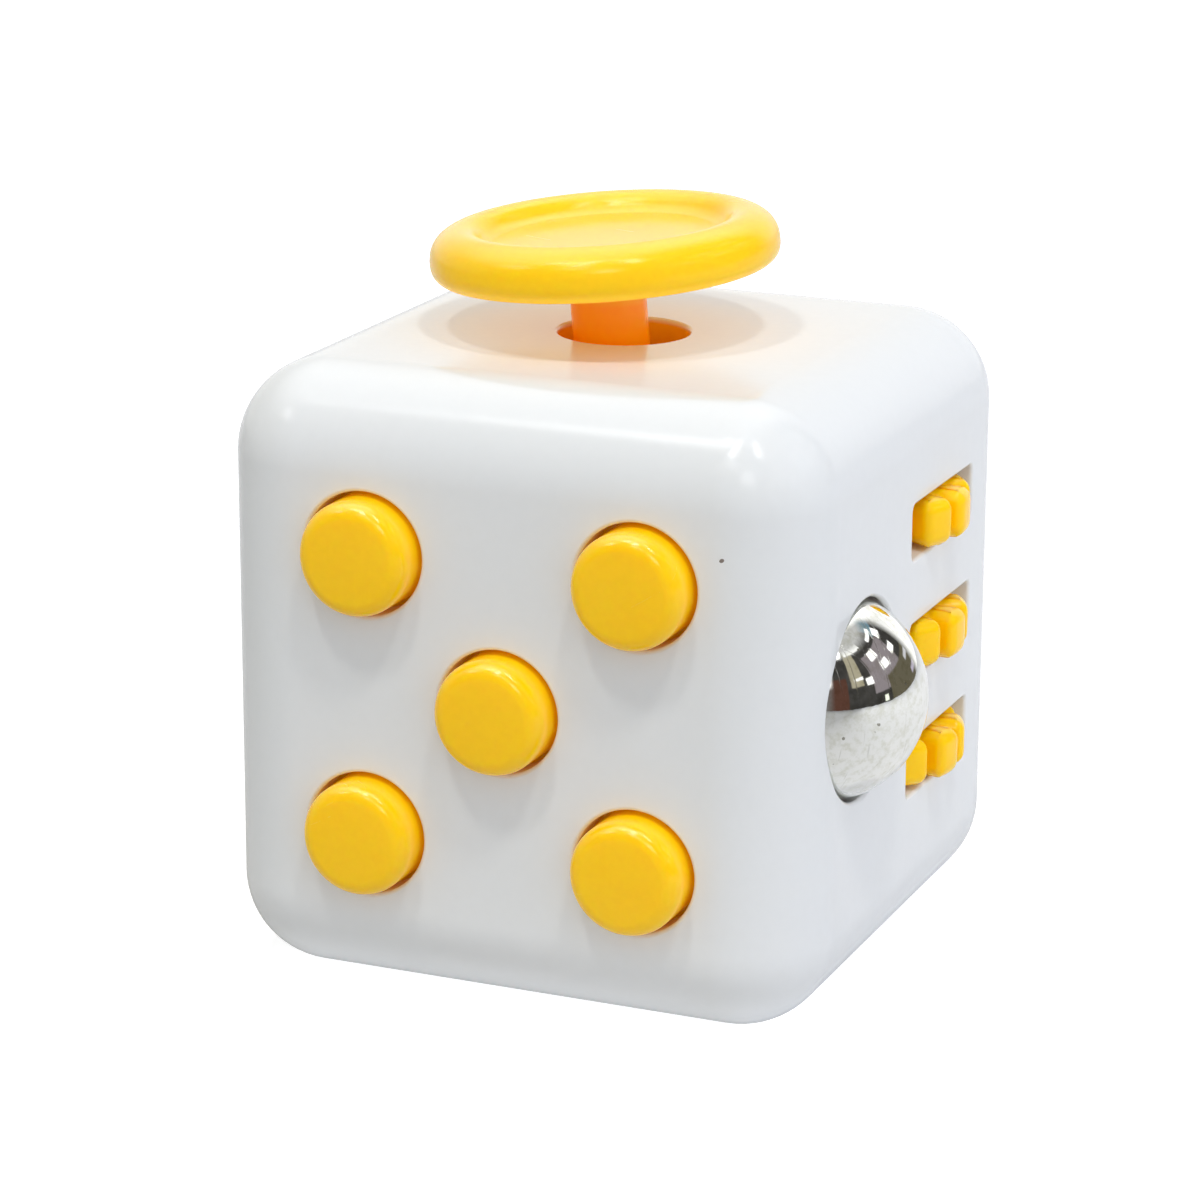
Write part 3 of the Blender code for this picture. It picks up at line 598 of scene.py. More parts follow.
def white_plastic():
    material, graph, shader = new_material("shell_white_gloss", (0.8, 0.81, 0.8), 0.3)
    cloudy = graph.mix(graph.noise(60, 2.0), (0.735, 0.75, 0.732), (0.752, 0.762, 0.748))
    grain = graph.mix(graph.ramp(graph.noise(1900, 2.0), 0.3, 0.7), (0.99, 0.99, 0.99), (1.0, 1.0, 1.0))
    dots = flecks(graph, 150, 0.03, 0.55)
    speckled = graph.mix(dots, tinted(graph, cloudy, grain), (0.22, 0.18, 0.15))
    one, two = scratches(graph, (35, 20, 40), 0.74), scratches(graph, (-30, 50, -35), 0.76)
    lines = graph.math("MAXIMUM", one, two)
    rough = graph.ramp(graph.noise(2600, 2.0), 0.25, 0.75, 0.13, 0.18)
    height = graph.math("SUBTRACT", graph.noise(900, 1.0), graph.times(lines, 0.15))
    values = {
        # Painted glow: the stem's hole wall is coloured orange.
        "Base Color": graph.mix(painted_glow_on_hole_wall(graph), speckled, HOLE_WALL_PAINTED_GLOW),
        "Roughness": graph.plus(rough, graph.times(lines, 0.08)),
        "Normal": graph.bump(height, 0.03, 0.00005),
        "Subsurface Weight": 0.12,
        "Subsurface Radius": (1.0, 0.9, 0.8),
        "Subsurface Scale": 0.0006,
        "IOR": 1.5,
        "Specular IOR Level": 0.27,
    }
    graph.fill(shader, values)
    return material


def yellow_plastic(name, depth, share, shine, roughness=0.12):
    """Glossy yellow that light goes into, with a faint amber glow painted on as emission. depth is how far,
    in metres, and share how much of it.
    """
    material, graph, shader = new_material(name, (0.98, 0.6, 0.0), 0.15)
    cloudy = graph.mix(graph.noise(160, 2.0), (0.98, 0.58, 0.0), (1.0, 0.63, 0.002))
    grain = graph.mix(graph.ramp(graph.noise(2600, 2.0), 0.35, 0.65), (0.98, 0.97, 0.9), (1.0, 1.0, 1.0))
    dots = flecks(graph, 420, 0.04, 0.08)
    lines = scratches(graph, (25, -40, 30), 0.72, 200)
    rough = graph.ramp(graph.noise(3000, 2.0), 0.25, 0.75, roughness, roughness + 0.06)
    height = graph.math("SUBTRACT", graph.noise(1100, 2.0), graph.times(lines, 0.4))
    values = {
        "Base Color": graph.mix(dots, tinted(graph, cloudy, grain), (0.5, 0.22, 0.02)),
        "Roughness": graph.plus(rough, graph.times(lines, 0.12)),
        "Normal": graph.bump(height, 0.06, 0.00005),
        "Subsurface Weight": share,
        "Subsurface Radius": (1.0, 0.35, 0.02),
        "Subsurface Scale": depth,
        "IOR": 1.5,
        "Specular IOR Level": shine,
        # Painted glow: a faint amber emission on every yellow part.
        "Emission Color": (*PAINTED_GLOW_AMBER, 1.0),
        "Emission Strength": YELLOW_PAINTED_GLOW[0],
    }
    graph.fill(shader, values)
    return material, graph, shader


def cap_plastic():
    """The caps' yellow. An orange glow is painted on each cap's side wall as emission, standing for light
    that comes through the cap.
    """
    material, graph, shader = yellow_plastic("cap_yellow_gloss", 0.002, 0.6, 0.45)
    side = graph.ramp(graph.math("ABSOLUTE", graph.split(graph.normals)[1]), *CAP_SIDE_FOR_PAINTED_GLOW)
    colour = graph.mix(side, PAINTED_GLOW_AMBER, (1.0, 0.26, 0.0))
    strength = graph.ramp(side, 0.0, 1.0, *YELLOW_PAINTED_GLOW)
    # Painted glow: the side wall's emission is stronger and a deeper orange.
    graph.fill(shader, {"Emission Color": colour, "Emission Strength": strength})
    return material


def disc_plastic():
    """The disc's yellow. An orange glow is painted on the disc's underside and its stem as emission, and the
    stem's colour is tinted deeper orange, standing for light that comes through the disc.
    """
    material, graph, shader = yellow_plastic("disc_yellow_gloss", 0.003, 0.55, 0.36, 0.18)
    under = graph.ramp(graph.split(graph.normals)[2], *DISC_UNDERSIDE)
    stem = graph.ramp(graph.split(graph.coordinates)[2], *STEM_TOP)
    under, low = graph.times(under, UNDERSIDE_PAINTED_GLOW), graph.times(stem, STEM_PAINTED_GLOW)
    colour = shader.inputs["Base Color"].links[0].from_socket
    values = {
        # Painted glow: orange emission on the underside and the stem, and the stem's colour tinted deeper
        # orange below the disc.
        "Emission Color": graph.mix(stem, (1.0, 0.5, 0.06), (1.0, 0.12, 0.0)),
        "Emission Strength": graph.plus(graph.math("MAXIMUM", under, low), DISC_PAINTED_GLOW),
        "Base Color": tinted(graph, colour, graph.mix(stem, (1.0, 1.0, 1.0), (1.0, 0.58, 0.6))),
    }
    graph.fill(shader, values)
    return material


def chrome():
    material, graph, shader = new_material("ball_chrome_polished", (0.86, 0.87, 0.87), 0.06, 1.0)
    tint = graph.mix(graph.noise(300, 3.0, 0.6), (0.82, 0.83, 0.8), (0.92, 0.92, 0.88))
    stain = graph.ramp(graph.noise(2300, 3.0, 0.65), 0.46, 0.66, 0.0, 0.55)
    stained = graph.mix(stain, tint, (0.64, 0.64, 0.53))
    one, two = scratches(graph, (25, 35, 40), 0.68, 400), scratches(graph, (-20, 60, -35), 0.69, 500)
    lines = graph.math("MAXIMUM", one, two)
    worn = graph.mix(graph.times(lines, 0.5), stained, (0.5, 0.5, 0.44))
    dots = flecks(graph, 1500, 0.16, 0.3)
    rough = graph.ramp(graph.noise(700, 4.0, 0.65), 0.3, 0.75, 0.03, 0.07)
    rough = graph.plus(rough, graph.times(lines, 0.12))
    height = graph.math("SUBTRACT", graph.noise(1500, 3.0), graph.times(lines, 0.5))
    values = {
        "Base Color": graph.mix(dots, worn, (0.36, 0.35, 0.3)),
        "Roughness": graph.plus(rough, graph.times(dots, 0.2)),
        "Normal": graph.bump(height, 0.08, 0.00003),
    }
    graph.fill(shader, values)
    return material


def steel():
    material, graph, shader = new_material("spring_steel_drawn", (0.56, 0.56, 0.55), 0.32, 1.0)
    tint = graph.mix(graph.noise(500, 5.0, 0.65), (0.46, 0.46, 0.45), (0.64, 0.63, 0.61))
    lines = graph.noise(1800, 3.0, 0.6, graph.stretched((1, 1, 9)))
    values = {
        "Base Color": graph.mix(flecks(graph, 1100, 0.1, 0.2), tint, (0.25, 0.2, 0.15)),
        "Roughness": graph.ramp(lines, 0.3, 0.7, 0.22, 0.42),
        "Normal": graph.bump(lines, 0.08, 0.0001),
    }
    graph.fill(shader, values)
    return material


def grey_plastic():
    material, graph, shader = new_material("frame_grey_satin", (0.62, 0.63, 0.64), 0.5)
    tint = graph.mix(graph.noise(220, 5.0, 0.6), (0.56, 0.575, 0.59), (0.66, 0.67, 0.68))
    values = {
        "Base Color": graph.mix(flecks(graph, 500, 0.06, 0.2), tint, (0.35, 0.35, 0.35)),
        "Roughness": graph.ramp(graph.noise(900, 5.0, 0.6), 0.3, 0.7, 0.42, 0.58),
        "Normal": graph.bump(graph.noise(4200), 0.12, 0.0002),
    }
    graph.fill(shader, values)
    return material


def rubber():
    material, graph, shader = new_material("dome_rubber_matt", (0.3, 0.3, 0.3), 0.8)
    tint = graph.mix(graph.noise(600, 5.0, 0.6), (0.24, 0.24, 0.25), (0.36, 0.36, 0.36))
    values = {
        "Base Color": graph.mix(flecks(graph, 1600, 0.12, 0.3), tint, (0.6, 0.6, 0.58)),
        "Roughness": graph.ramp(graph.noise(1200, 4.0), 0.3, 0.7, 0.7, 0.9),
        "Normal": graph.bump(graph.noise(5200), 0.2, 0.0002),
    }
    graph.fill(shader, values)
    return material


# Case


def seam_block(bm, grow):
    """The region that the rear shell takes."""
    block(bm, (-FAR, -SEAM - grow, -FAR), (SEAM + grow, FAR, SEAM + grow))


def seam_path():
    """The parting line round the left, back and bottom faces."""
    edge = HALF - CORNER_RADIUS
    radius = CORNER_RADIUS
    points = [(-HALF, -SEAM, SEAM), (-HALF, 0, SEAM)]
    points += [(a, b, SEAM) for a, b in arc(-edge, edge, radius, 180, 90, CORNER_STEPS)]
    points += [(0, HALF, SEAM), (SEAM, HALF, SEAM), (SEAM, HALF, 0)]
    points += [(SEAM, a, b) for a, b in arc(edge, -edge, radius, 0, -90, CORNER_STEPS)]
    points += [(SEAM, 0, -HALF), (SEAM, -SEAM, -HALF), (0, -SEAM, -HALF)]
    points += [(a, -SEAM, b) for a, b in arc(-edge, -edge, radius, 270, 180, CORNER_STEPS)]
    points += [(-HALF, -SEAM, 0)]
    return points


def whole_case(name):
    """The closed case, hollow, with the groove of the parting line round it."""
    bm = bmesh.new()
    rounded_block(bm, (-HALF,) * 3, (HALF,) * 3, CORNER_RADIUS, CORNER_STEPS)
    shell = put(name, bm)
    bm = bmesh.new()
    low, high = (-INNER_HALF, -INNER_HALF, INNER_FLOOR), (INNER_HALF,) * 3
    rounded_block(bm, low, high, INNER_RADIUS, INNER_STEPS)
    cut(shell, bm)
    bm = bmesh.new()
    tube(bm, seam_path(), SEAM_GROOVE)
    cut(shell, bm)
    return shell


def slots(longer, taller):
    """The box of each gear slot, as four numbers, grown by longer and taller at each end."""
    y = GEAR_AXIS[1]
    long, tall = SLOT_HALF_LENGTH + longer, SLOT_HALF_HEIGHT + taller
    for number in range(3):
        z = GEAR_MIDDLE + (number - 1) * GEAR_PITCH
        yield y - long, z - tall, y + long, z + tall


def front_shell(white):
    shell = whole_case("case_front_shell")
    bm = bmesh.new()
    seam_block(bm, SEAM_GAP / 2)
    cut(shell, bm)
    bm = bmesh.new()
    for x, z in PLATE_SCREWS:
        rod(bm, POST_RADIUS, -POST_ROOT, PLATE_FRONT - POST_GAP, "Y", (x, 0, z))
    for y, z in FRAME_SCREWS:
        rod(bm, POST_RADIUS, FRAME_FRONT + POST_GAP, POST_ROOT, "X", (0, y, z))
    cut(shell, bm, "UNION")
    bm = bmesh.new()
    for x, z in BUTTON_CENTRES:
        centre = (x * BUTTON_SPACING, 0, z * BUTTON_SPACING)
        round_hole(bm, BUTTON_HOLE, CUTTER_START, HALF, "-Y", centre)
    round_hole(bm, STICK_HOLE, CUTTER_START, HALF, "Z", (0, 0, 0))
    seat = (0, *BALL_CENTRE[1:])
    round_hole(bm, BALL_HOLE, CUTTER_START, HALF, "X", seat, start=BALL_SEAT, steps=FINE_STEPS)
    for box in slots(0.0, 0.0):
        round_slot(bm, box, SLOT_CORNER, SLOT_START, HALF, "X", SLOT_LIP)
    cut(shell, bm)
    bm = bmesh.new()
    for box in slots(*SLOT_RELIEF):
        prism(bm, rectangle(*box), "X", CUTTER_START, SLOT_RELIEF_END)
    for x, z in PLATE_SCREWS:
        rod(bm, POST_BORE, PLATE_BORE_END, PLATE_FRONT, "Y", (x, 0, z))
    for y, z in FRAME_SCREWS:
        rod(bm, POST_BORE, FRAME_FRONT, FRAME_BORE_END, "X", (0, y, z))
    for x in (-STICK_SCREW, STICK_SCREW):
        for y in (-STICK_SCREW, STICK_SCREW):
            rod(bm, POST_BORE, CUTTER_START, STICK_BORE_END, "Z", (x, y, 0))
    cut(shell, bm)
    dress(shell, white, "case", "shell_white", "shell_front")


def snap_tab(bm, wall, wall_at, seam, span, middle):
    """A tongue on the rear shell that reaches across the seam."""
    sign = 1 if wall_at > 0 else -1
    seam_sign = -1 if seam == "Y" else 1
    inside = wall_at - TAB_GAP * sign
    deep = wall_at - TAB_DEPTH * sign
    root = wall_at + TAB_SINK * sign
    outline = [(deep, SEAM - TAB_BACK), (root, SEAM - TAB_BACK), (root, SEAM - TAB_SINK)]
    outline += [(inside, SEAM - TAB_SINK), (inside, SEAM + TAB_REACH), (deep, SEAM + TAB_REACH)]
    loops = []
    for shift in (middle - TAB_HALF_WIDTH, middle + TAB_HALF_WIDTH):
        side = []
        for depth, across in outline:
            place = {wall: depth, seam: across * seam_sign, span: shift}
            side.append(bm.verts.new((place["X"], place["Y"], place["Z"])))
        bm.faces.new(side)
        loops.append(side)
    skin(bm, loops)


def rear_shell(white):
    shell = whole_case("case_rear_shell")
    bm = bmesh.new()
    seam_block(bm, -SEAM_GAP / 2)
    cut(shell, bm, "INTERSECT")
    bm = bmesh.new()
    snap_tab(bm, "X", -INNER_HALF, "Y", "Z", 5.0)
    snap_tab(bm, "X", -INNER_HALF, "Z", "Y", 6.0)
    snap_tab(bm, "Y", INNER_HALF, "Z", "X", -8.0)
    snap_tab(bm, "Y", INNER_HALF, "X", "Z", -5.0)
    snap_tab(bm, "Z", INNER_FLOOR, "X", "Y", 4.0)
    for z in (-CRADLE_SCREW_Z, CRADLE_SCREW_Z):
        rod(bm, POST_RADIUS, CRADLE_POST_START, POST_ROOT, "Y", (0, 0, z))
    cut(shell, bm, "UNION")
    bm = bmesh.new()
    lathe(bm, dish_profile(DISH_RADIUS, DISH_DEPTH, DISH_LIP, HALF), "-Z", (0, 0, 0), FINE_STEPS)
    recess = [(0, DIAL_BORE_START), (DIAL_BORE, DIAL_BORE_START)]
    recess += [(DIAL_BORE, DIAL_FLOOR), (DIAL_RECESS, DIAL_FLOOR)]
    recess += [(DIAL_RECESS + grow, HALF - depth) for grow, depth in lip_levels()]
    recess += [(DIAL_RECESS + LIP, HALF + PAST_FACE), (0, HALF + PAST_FACE)]
    lathe(bm, recess, "-X", (0, 0, 0), FINE_STEPS)
    round_slot(bm, ROCKER_HOLE, ROCKER_HOLE_CORNER, SLOT_START, HALF, "Y", LIP)
    for z in (-CRADLE_SCREW_Z, CRADLE_SCREW_Z):
        rod(bm, POST_BORE, *CRADLE_BORE, "Y", (0, 0, z))
    cut(shell, bm)
    dress(shell, white, "case", "shell_white", "shell_rear")


# Push buttons


def buttons(yellow):
    profile = [(0.0, CAP_TOP)]
    for step in range(1, CAP_CROWN_STEPS):
        part = step / CAP_CROWN_STEPS
        profile.append((CAP_FLAT * part, CAP_TOP - CAP_CROWN * part**2))
    for step in range(CAP_SHOULDER_STEPS + 1):
        angle = math.pi / 2 * step / CAP_SHOULDER_STEPS
        out, up = CAP_SHOULDER[0] * math.sin(angle), CAP_SHOULDER[1] * math.cos(angle)
        profile.append((CAP_FLAT + out, CAP_SHOULDER_MIDDLE + up))
    profile += CAP_SKIRT
    for number, (x, z) in enumerate(BUTTON_CENTRES, 1):
        bm = bmesh.new()
        centre = (x * BUTTON_SPACING, 0, z * BUTTON_SPACING)
        lathe(bm, profile, "-Y", centre)
        cap = put(f"push_button_{number}", bm)
        dress(cap, yellow, f"button_{number}", "toy_yellow", f"button_cap_{number}")


def domes(metal, rubbery):
    """The sprung domes under the caps, which flatten when their button is pressed."""
    snap = smooth_run([(0.02, 12.7), (0.5, 12.67), (0.9, 12.6), (1.5, 12.3), (1.9, DOME_FOOT)], 5)
    under = smooth_run([(1.65, DOME_FOOT), (1.3, 12.13), (0.8, 12.38), (0.02, 12.46)], 5)
    snap = [(0, 12.7), *snap, *under, (0, 12.46)]
    soft = smooth_run([(0.78, 12.7), (1.0, 12.5), (1.3, 12.26), (1.6, 12.1), (1.9, 12.05)], 4)
    under = smooth_run([(1.3, DOME_FOOT), (0.9, 12.1), (0.6, 12.3)], 4)
    soft = [(0, 12.7), *soft, (1.9, DOME_FOOT), *under, (0, 12.3)]
    for number, (x, z) in enumerate(BUTTON_CENTRES, 1):
        clicks = number in CLICK_BUTTONS
        name = f"snap_dome_{number}" if clicks else f"soft_dome_{number}"
        centre = (x * BUTTON_SPACING, 0, z * BUTTON_SPACING)
        bm = bmesh.new()
        lathe(bm, snap if clicks else soft, "-Y", centre, steps=48)
        dome = put(f"springy_{name}", bm)
        material, slot = (metal, "spring_steel") if clicks else (rubbery, "dome_rubber")
        dress(dome, material, "case", slot, name)
        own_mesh(dome)


# Ball and gears


def wave_spring(metal):
    """The wavy washer behind the ball's cup, which flattens when the ball is pressed."""
    steps = 96
    y, z = BALL_CENTRE[1:]
    section = [(1.8, -0.07), (1.84, -0.11), (3.16, -0.11), (3.2, -0.07)]
    section += [(radius, -height) for radius, height in reversed(section)]
    bm = bmesh.new()
    loops = []
    for step in range(steps):
        angle = 2 * math.pi * step / steps
        middle = SPRING_MIDDLE + SPRING_WAVE * math.cos(SPRING_WAVES * angle)
        ring = [(middle + x, y + r * math.cos(angle), z + r * math.sin(angle)) for r, x in section]
        loops.append([bm.verts.new(point) for point in ring])
    skin(bm, loops + loops[:1])
    spring = put("wavy_washer_spring", bm)
    dress(spring, metal, "case", "spring_steel", "ball_wave_spring")
    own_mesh(spring)


def ball(metal):
    profile = [(0, BALL_RADIUS)]
    for step in range(1, BALL_STEPS):
        angle = math.pi * step / BALL_STEPS
        profile.append((BALL_RADIUS * math.sin(angle), BALL_RADIUS * math.cos(angle)))
    profile.append((0, -BALL_RADIUS))
    bm = bmesh.new()
    lathe(bm, profile, "X", BALL_CENTRE, FINE_STEPS)
    piece = put("steel_ball", bm)
    dress(piece, metal, "ball", "ball_chrome", "roller_ball")


def gear_outline(turn):
    """A gear's outline about its own middle, turned by some degrees."""
    corners, radii = [], []
    half = TOOTH_HALF_DEG
    for number in range(GEAR_TEETH):
        for shift, radius, rounding in (
            (-half - 1.5, GEAR_ROOT, ROOT_ROUNDING),
            (-half - 0.1, GEAR_RADIUS, TIP_ROUNDING),
            (0.0, GEAR_RADIUS + 0.03, 4.0),
            (half + 0.1, GEAR_RADIUS, TIP_ROUNDING),
            (half + 1.5, GEAR_ROOT, ROOT_ROUNDING),
        ):
            angle = math.radians(turn + 360 * number / GEAR_TEETH + shift)
            corners.append((radius * math.cos(angle), radius * math.sin(angle)))
            radii.append(rounding)
    return round_corners(corners, radii)


def gears(yellow):
    x, y = GEAR_AXIS
    for number, (name, turn) in enumerate(GEAR_TURNS.items()):
        z = GEAR_MIDDLE + (number - 1) * GEAR_PITCH
        outer = gear_outline(turn)
        bore = []
        for a, b in outer:
            scale = GEAR_BORE / math.hypot(a, b)
            bore.append((a * scale, b * scale))
        layers = []
        for step in range(GEAR_EDGE_STEPS + 1):
            bend = math.radians(90 * step / GEAR_EDGE_STEPS)
            height = GEAR_EDGE * (1 - math.cos(bend)) - GEAR_HALF_WIDTH
            layers.append((inset(outer, GEAR_EDGE * (1 - math.sin(bend))), height))
        layers += [(points, -height) for points, height in reversed(layers)]
        layers = [(bore, -GEAR_HALF_WIDTH), *layers, (bore, GEAR_HALF_WIDTH)]
        bm = bmesh.new()
        loops = [[bm.verts.new((x + a, y + b, z + height)) for a, b in points] for points, height in layers]
        skin(bm, loops + loops[:1])
        gear = put(f"thumb_gear_{name}", bm)
        dress(gear, yellow, f"gear_{name}_wheel", "toy_yellow", f"gear_{name}")


# Glide stick


def stick_turn():
    """How the disc leans where it stands."""
    left = Matrix.Rotation(math.radians(-STICK_LEAN_LEFT), 3, "Y")
    return left @ Matrix.Rotation(math.radians(STICK_LEAN_FRONT), 3, "X")


def stick(yellow):
    height = DISC_HEIGHT
    dish = [(0.02, 0.45), (2.8, 0.455), (5.4, 0.47), (6.0, 0.53), (6.4, 0.74), (6.68, 1.05), (6.92, 1.25)]
    rim = [(7.25, 1.37), (7.75, 1.39), (8.35, 1.2), (8.85, 0.85), (9.15, 0.4), (9.27, -0.1), (9.27, -0.6)]
    rim += [(9.12, -1.0), (8.75, -1.3), (8.1, -1.44)]
    profile = [(0, height + 0.45)] + [(radius, height + up) for radius, up in smooth_run(dish + rim, 6)[1:]]
    profile += [(6.4, height - DISC_UNDER), (4.4, height - DISC_UNDER)]
    profile += arc(STEM_RADIUS + STEM_FILLET, height - DISC_UNDER - STEM_FILLET, STEM_FILLET, 90, 180, 8)
    profile += [(STEM_RADIUS, 5.0), (STEM_RADIUS, 1.2), (2.35, 0), (1.75, -1.57), (1.2, -2.1), (1.2, -2.6)]
    profile += [(2.2, -2.6), (2.2, -3.2), (0, -3.2)]
    bm = bmesh.new()
    lathe(bm, profile, "Z", PIVOT, steps=144)
    piece = put("tilt_disc_and_stem", bm, stick_turn(), PIVOT)
    bm = bmesh.new()
    rod(bm, PIN_HOLE, -3.0, 3.0, "X", (0, 0, 0))
    bmesh.ops.transform(bm, matrix=stick_turn().to_4x4(), verts=bm.verts)
    bmesh.ops.translate(bm, verts=bm.verts, vec=PIVOT)
    cut(piece, bm)
    dress(piece, yellow, "stick", "toy_yellow", "glide_stick")


# Rocker switch


def rocker(yellow):
    half = [(2.7, 0.0), (2.8, 1.6), (3.15, 3.6), (3.7, 5.4), (3.55, 5.7)]
    half += [(1.0, 5.5), (0.2, 4.6), (-0.6, 2.0), (-1.5, 1.0), (-2.4, 0.35)]
    outline = [(y + ROCKER_AXIS_Y, z) for y, z in half]
    outline += [(y + ROCKER_AXIS_Y, -z) for y, z in reversed(half[1:])]
    radii = [3.0, 6.0, 6.0, 0.3, 0.3, 0.4, 0.5, 0.5, 0.5, 0.2]
    outline = round_corners(outline, radii + radii[:0:-1])
    lean = Matrix.Rotation(math.radians(-ROCKER_LEAN), 3, "X")
    axis = (0, ROCKER_AXIS_Y, 0)
    bm = bmesh.new()
    soft_prism(bm, outline, "X", -ROCKER_HALF_WIDTH, ROCKER_HALF_WIDTH, ROCKER_EDGE)
    piece = put("rocker_paddle", bm, lean, axis)
    bm = bmesh.new()
    rod(bm, ROCKER_BORE, -5.0, 5.0, "X", axis, steps=32)
    cut(piece, bm)
    dress(piece, yellow, "rocker_body", "toy_yellow", "rocker")


# Dial


def dial(yellow):
    face = [(0.02, 18.55), (1.8, 18.555), (3.6, 18.6), (4.6, 18.7), (5.3, 18.88), (5.8, 19.02), (6.15, 19.04)]
    face = smooth_run(face, 4)
    edge = [(6.4, 18.98), (6.6, 18.84), (6.71, 18.68)]
    side = [(DIAL_RADIUS, h) for h in (18.5, 18.2, 17.6, 17.0, 16.6)]
    under = [(6.7, 16.4), (6.5, 16.15), (6.3, 16.05), (SHAFT_RADIUS, 16.05), (SHAFT_RADIUS, 13.3)]
    under += [(1.5, 13.3), (1.5, 12.7), (SHAFT_RADIUS, 12.7), (1.8, 12.2), (0, 12.2)]
    profile = [(0, 18.55)] + face[1:] + edge + side + under
    first = 1 + len(face) - 1 + len(edge)
    depths = {first - 1: 0.35, first: 0.8, first + 4: 0.9, first + 5: 0.5}
    depths.update({first + k: 1.0 for k in (1, 2, 3)})

    def reach(number, angle, radius):
        wave = (0.5 - 0.5 * math.cos(DIAL_RIDGES * angle)) ** 0.7
        return radius - RIDGE_DEPTH * depths.get(number, 0.0) * wave

    bm = bmesh.new()
    lathe(bm, profile, "-X", (0, 0, 0), DIAL_RIDGES * 10, reach)
    piece = put("spin_dial", bm)
    bm = bmesh.new()
    lathe(bm, dish_profile(*FINGER_DISH, steps=14), "-X", (0, 0, FINGER_DISH_Z), steps=64)
    cut(piece, bm)
    dress(piece, yellow, "dial", "toy_yellow", "dial_knob")


# Stage. Places and sizes are in metres, directions in degrees and lamps in watts.

CAMERA_AT = (0.083029, -0.199902, 0.081084)
CAMERA_RIGHT = (0.9208469, 0.3899007, 0.0042900)
CAMERA_UP = (-0.1127634, 0.2557543, 0.9601428)
CAMERA_AHEAD = (-0.3732632, 0.8846282, -0.2794771)
CAMERA_LENS = 125.07
CAMERA_SENSOR = 36.0
CAMERA_CLIP = (0.01, 20.0)
FLOOR_RADIUS = 4.0
FLOOR_DROP = 0.00002
FLOOR_BOUNCE = (0.42, 0.8, 0.9)
FLOOR_BOUNCE_AT = (-0.045, 0.015, 0.08)
FLOOR_SLOPE = (0.45, 0.9)
FLOOR_GLOW = 0.6
FLOOR_SEEN_FROM = 0.0035
SKY_TINT_LEFT = (1.0, 1.0, 0.985)
SKY_TINT_RIGHT = (0.965, 1.005, 1.15)
SKY_BASE = 0.455
SKY_SLOPE = (0.72, -0.43, 0.08)
SKY_LEAST = 0.05
SKY_LEFT = 0.9
SKY_BEHIND = 0.5
SKY_BELOW = 0.45
GLOSS_BASE = 0.6
GLOSS_BACK = 0.6
GLOSS_BEFORE = 0.4
GLOSS_ABOVE = 2.9
GLOSS_STRIPS = (
    ((-53, 40, 9, 5), 5.0),
    ((-6, 47, 12, 5), 3.5),
    ((22, 33, 9, 8), 4.5),
    ((-12, 66, 7, 11), 16.0),
    ((-44, 66, 12, 7), 8.0),
    ((44, 66, 7, 11), 14.0),
)
ROOM_BOX = (92, 20, 62, 36)
ROOM = (
    ((107, 28, 25, 18), (0.3, 0.265, 0.285)),
    ((127, 9, 24, 11), (0.14, 0.125, 0.085)),
    ((36, 10, 14, 22), (0.11, 0.05, 0.035)),
    ((63, 40, 8, 19), (0.46, 0.42, 0.31)),
    ((146, 53, 16, 7), (0.18, 0.3, 0.38)),
    ((76, 61, 18, 7), (1.6, 1.6, 1.6)),
    ((101, 42, 7, 4.2), (1.8, 1.8, 1.8)),
    ((109, 29, 6.5, 3.6), (1.8, 1.8, 1.8)),
    ((134, 29.5, 5.5, 3), (1.8, 1.8, 1.8)),
    ((79, 23.5, 4.5, 3.4), (1.8, 1.8, 1.8)),
    ((67, 28.4, 5, 1.3), (1.5, 1.5, 1.5)),
    ((95, 3.4, 2.5, 2.6), (1.3, 1.4, 1.2)),
    ((128, 51.5, 12, 1.6), (1.8, 1.8, 1.8)),
    ((139.5, 43.5, 6, 3.4), (1.8, 1.8, 1.8)),
    ((146, 14.5, 5, 1.6), (0.7, 0.7, 0.75)),
    ((148, 5, 5, 1.6), (0.6, 0.55, 0.7)),
)
LAMP_TARGET = (0, 0, 0.018)
LAMPS = (
    ("lamp_right_front", (0.203, -0.211, 0.676), (0.06, 0.06), 1.15, (1.0, 0.99, 0.97)),
    ("lamp_left_front", (-0.061, -0.286, 0.676), (0.06, 0.06), 1.05, (1.0, 0.99, 0.97)),
)


def direction_mask(graph, azimuth, elevation, box, soft=0.6):
    """1 inside a box of directions: middle azimuth, middle elevation and the two half widths."""
    across = graph.math("ABSOLUTE", graph.math("SUBTRACT", azimuth, box[0]))
    along = graph.math("ABSOLUTE", graph.math("SUBTRACT", elevation, box[1]))
    inside = graph.ramp(across, box[2] - soft, box[2] + soft, 1.0, 0.0)
    return graph.times(inside, graph.ramp(along, box[3] - soft, box[3] + soft, 1.0, 0.0))


def sky_level(graph, x, y, z):
    """How bright the sky is for matt light."""
    level = SKY_BASE
    for part, weight in zip((x, y, z), SKY_SLOPE):
        level = graph.plus(graph.times(part, weight), level)
    level = graph.math("MAXIMUM", level, SKY_LEAST)
    level = graph.plus(level, graph.ramp(x, -0.3, -1.0, 0.0, SKY_LEFT))
    level = graph.plus(level, graph.ramp(y, 0.3, 1.0, 0.0, SKY_BEHIND))
    return graph.plus(level, graph.ramp(z, -0.1, -0.6, 0.0, SKY_BELOW))


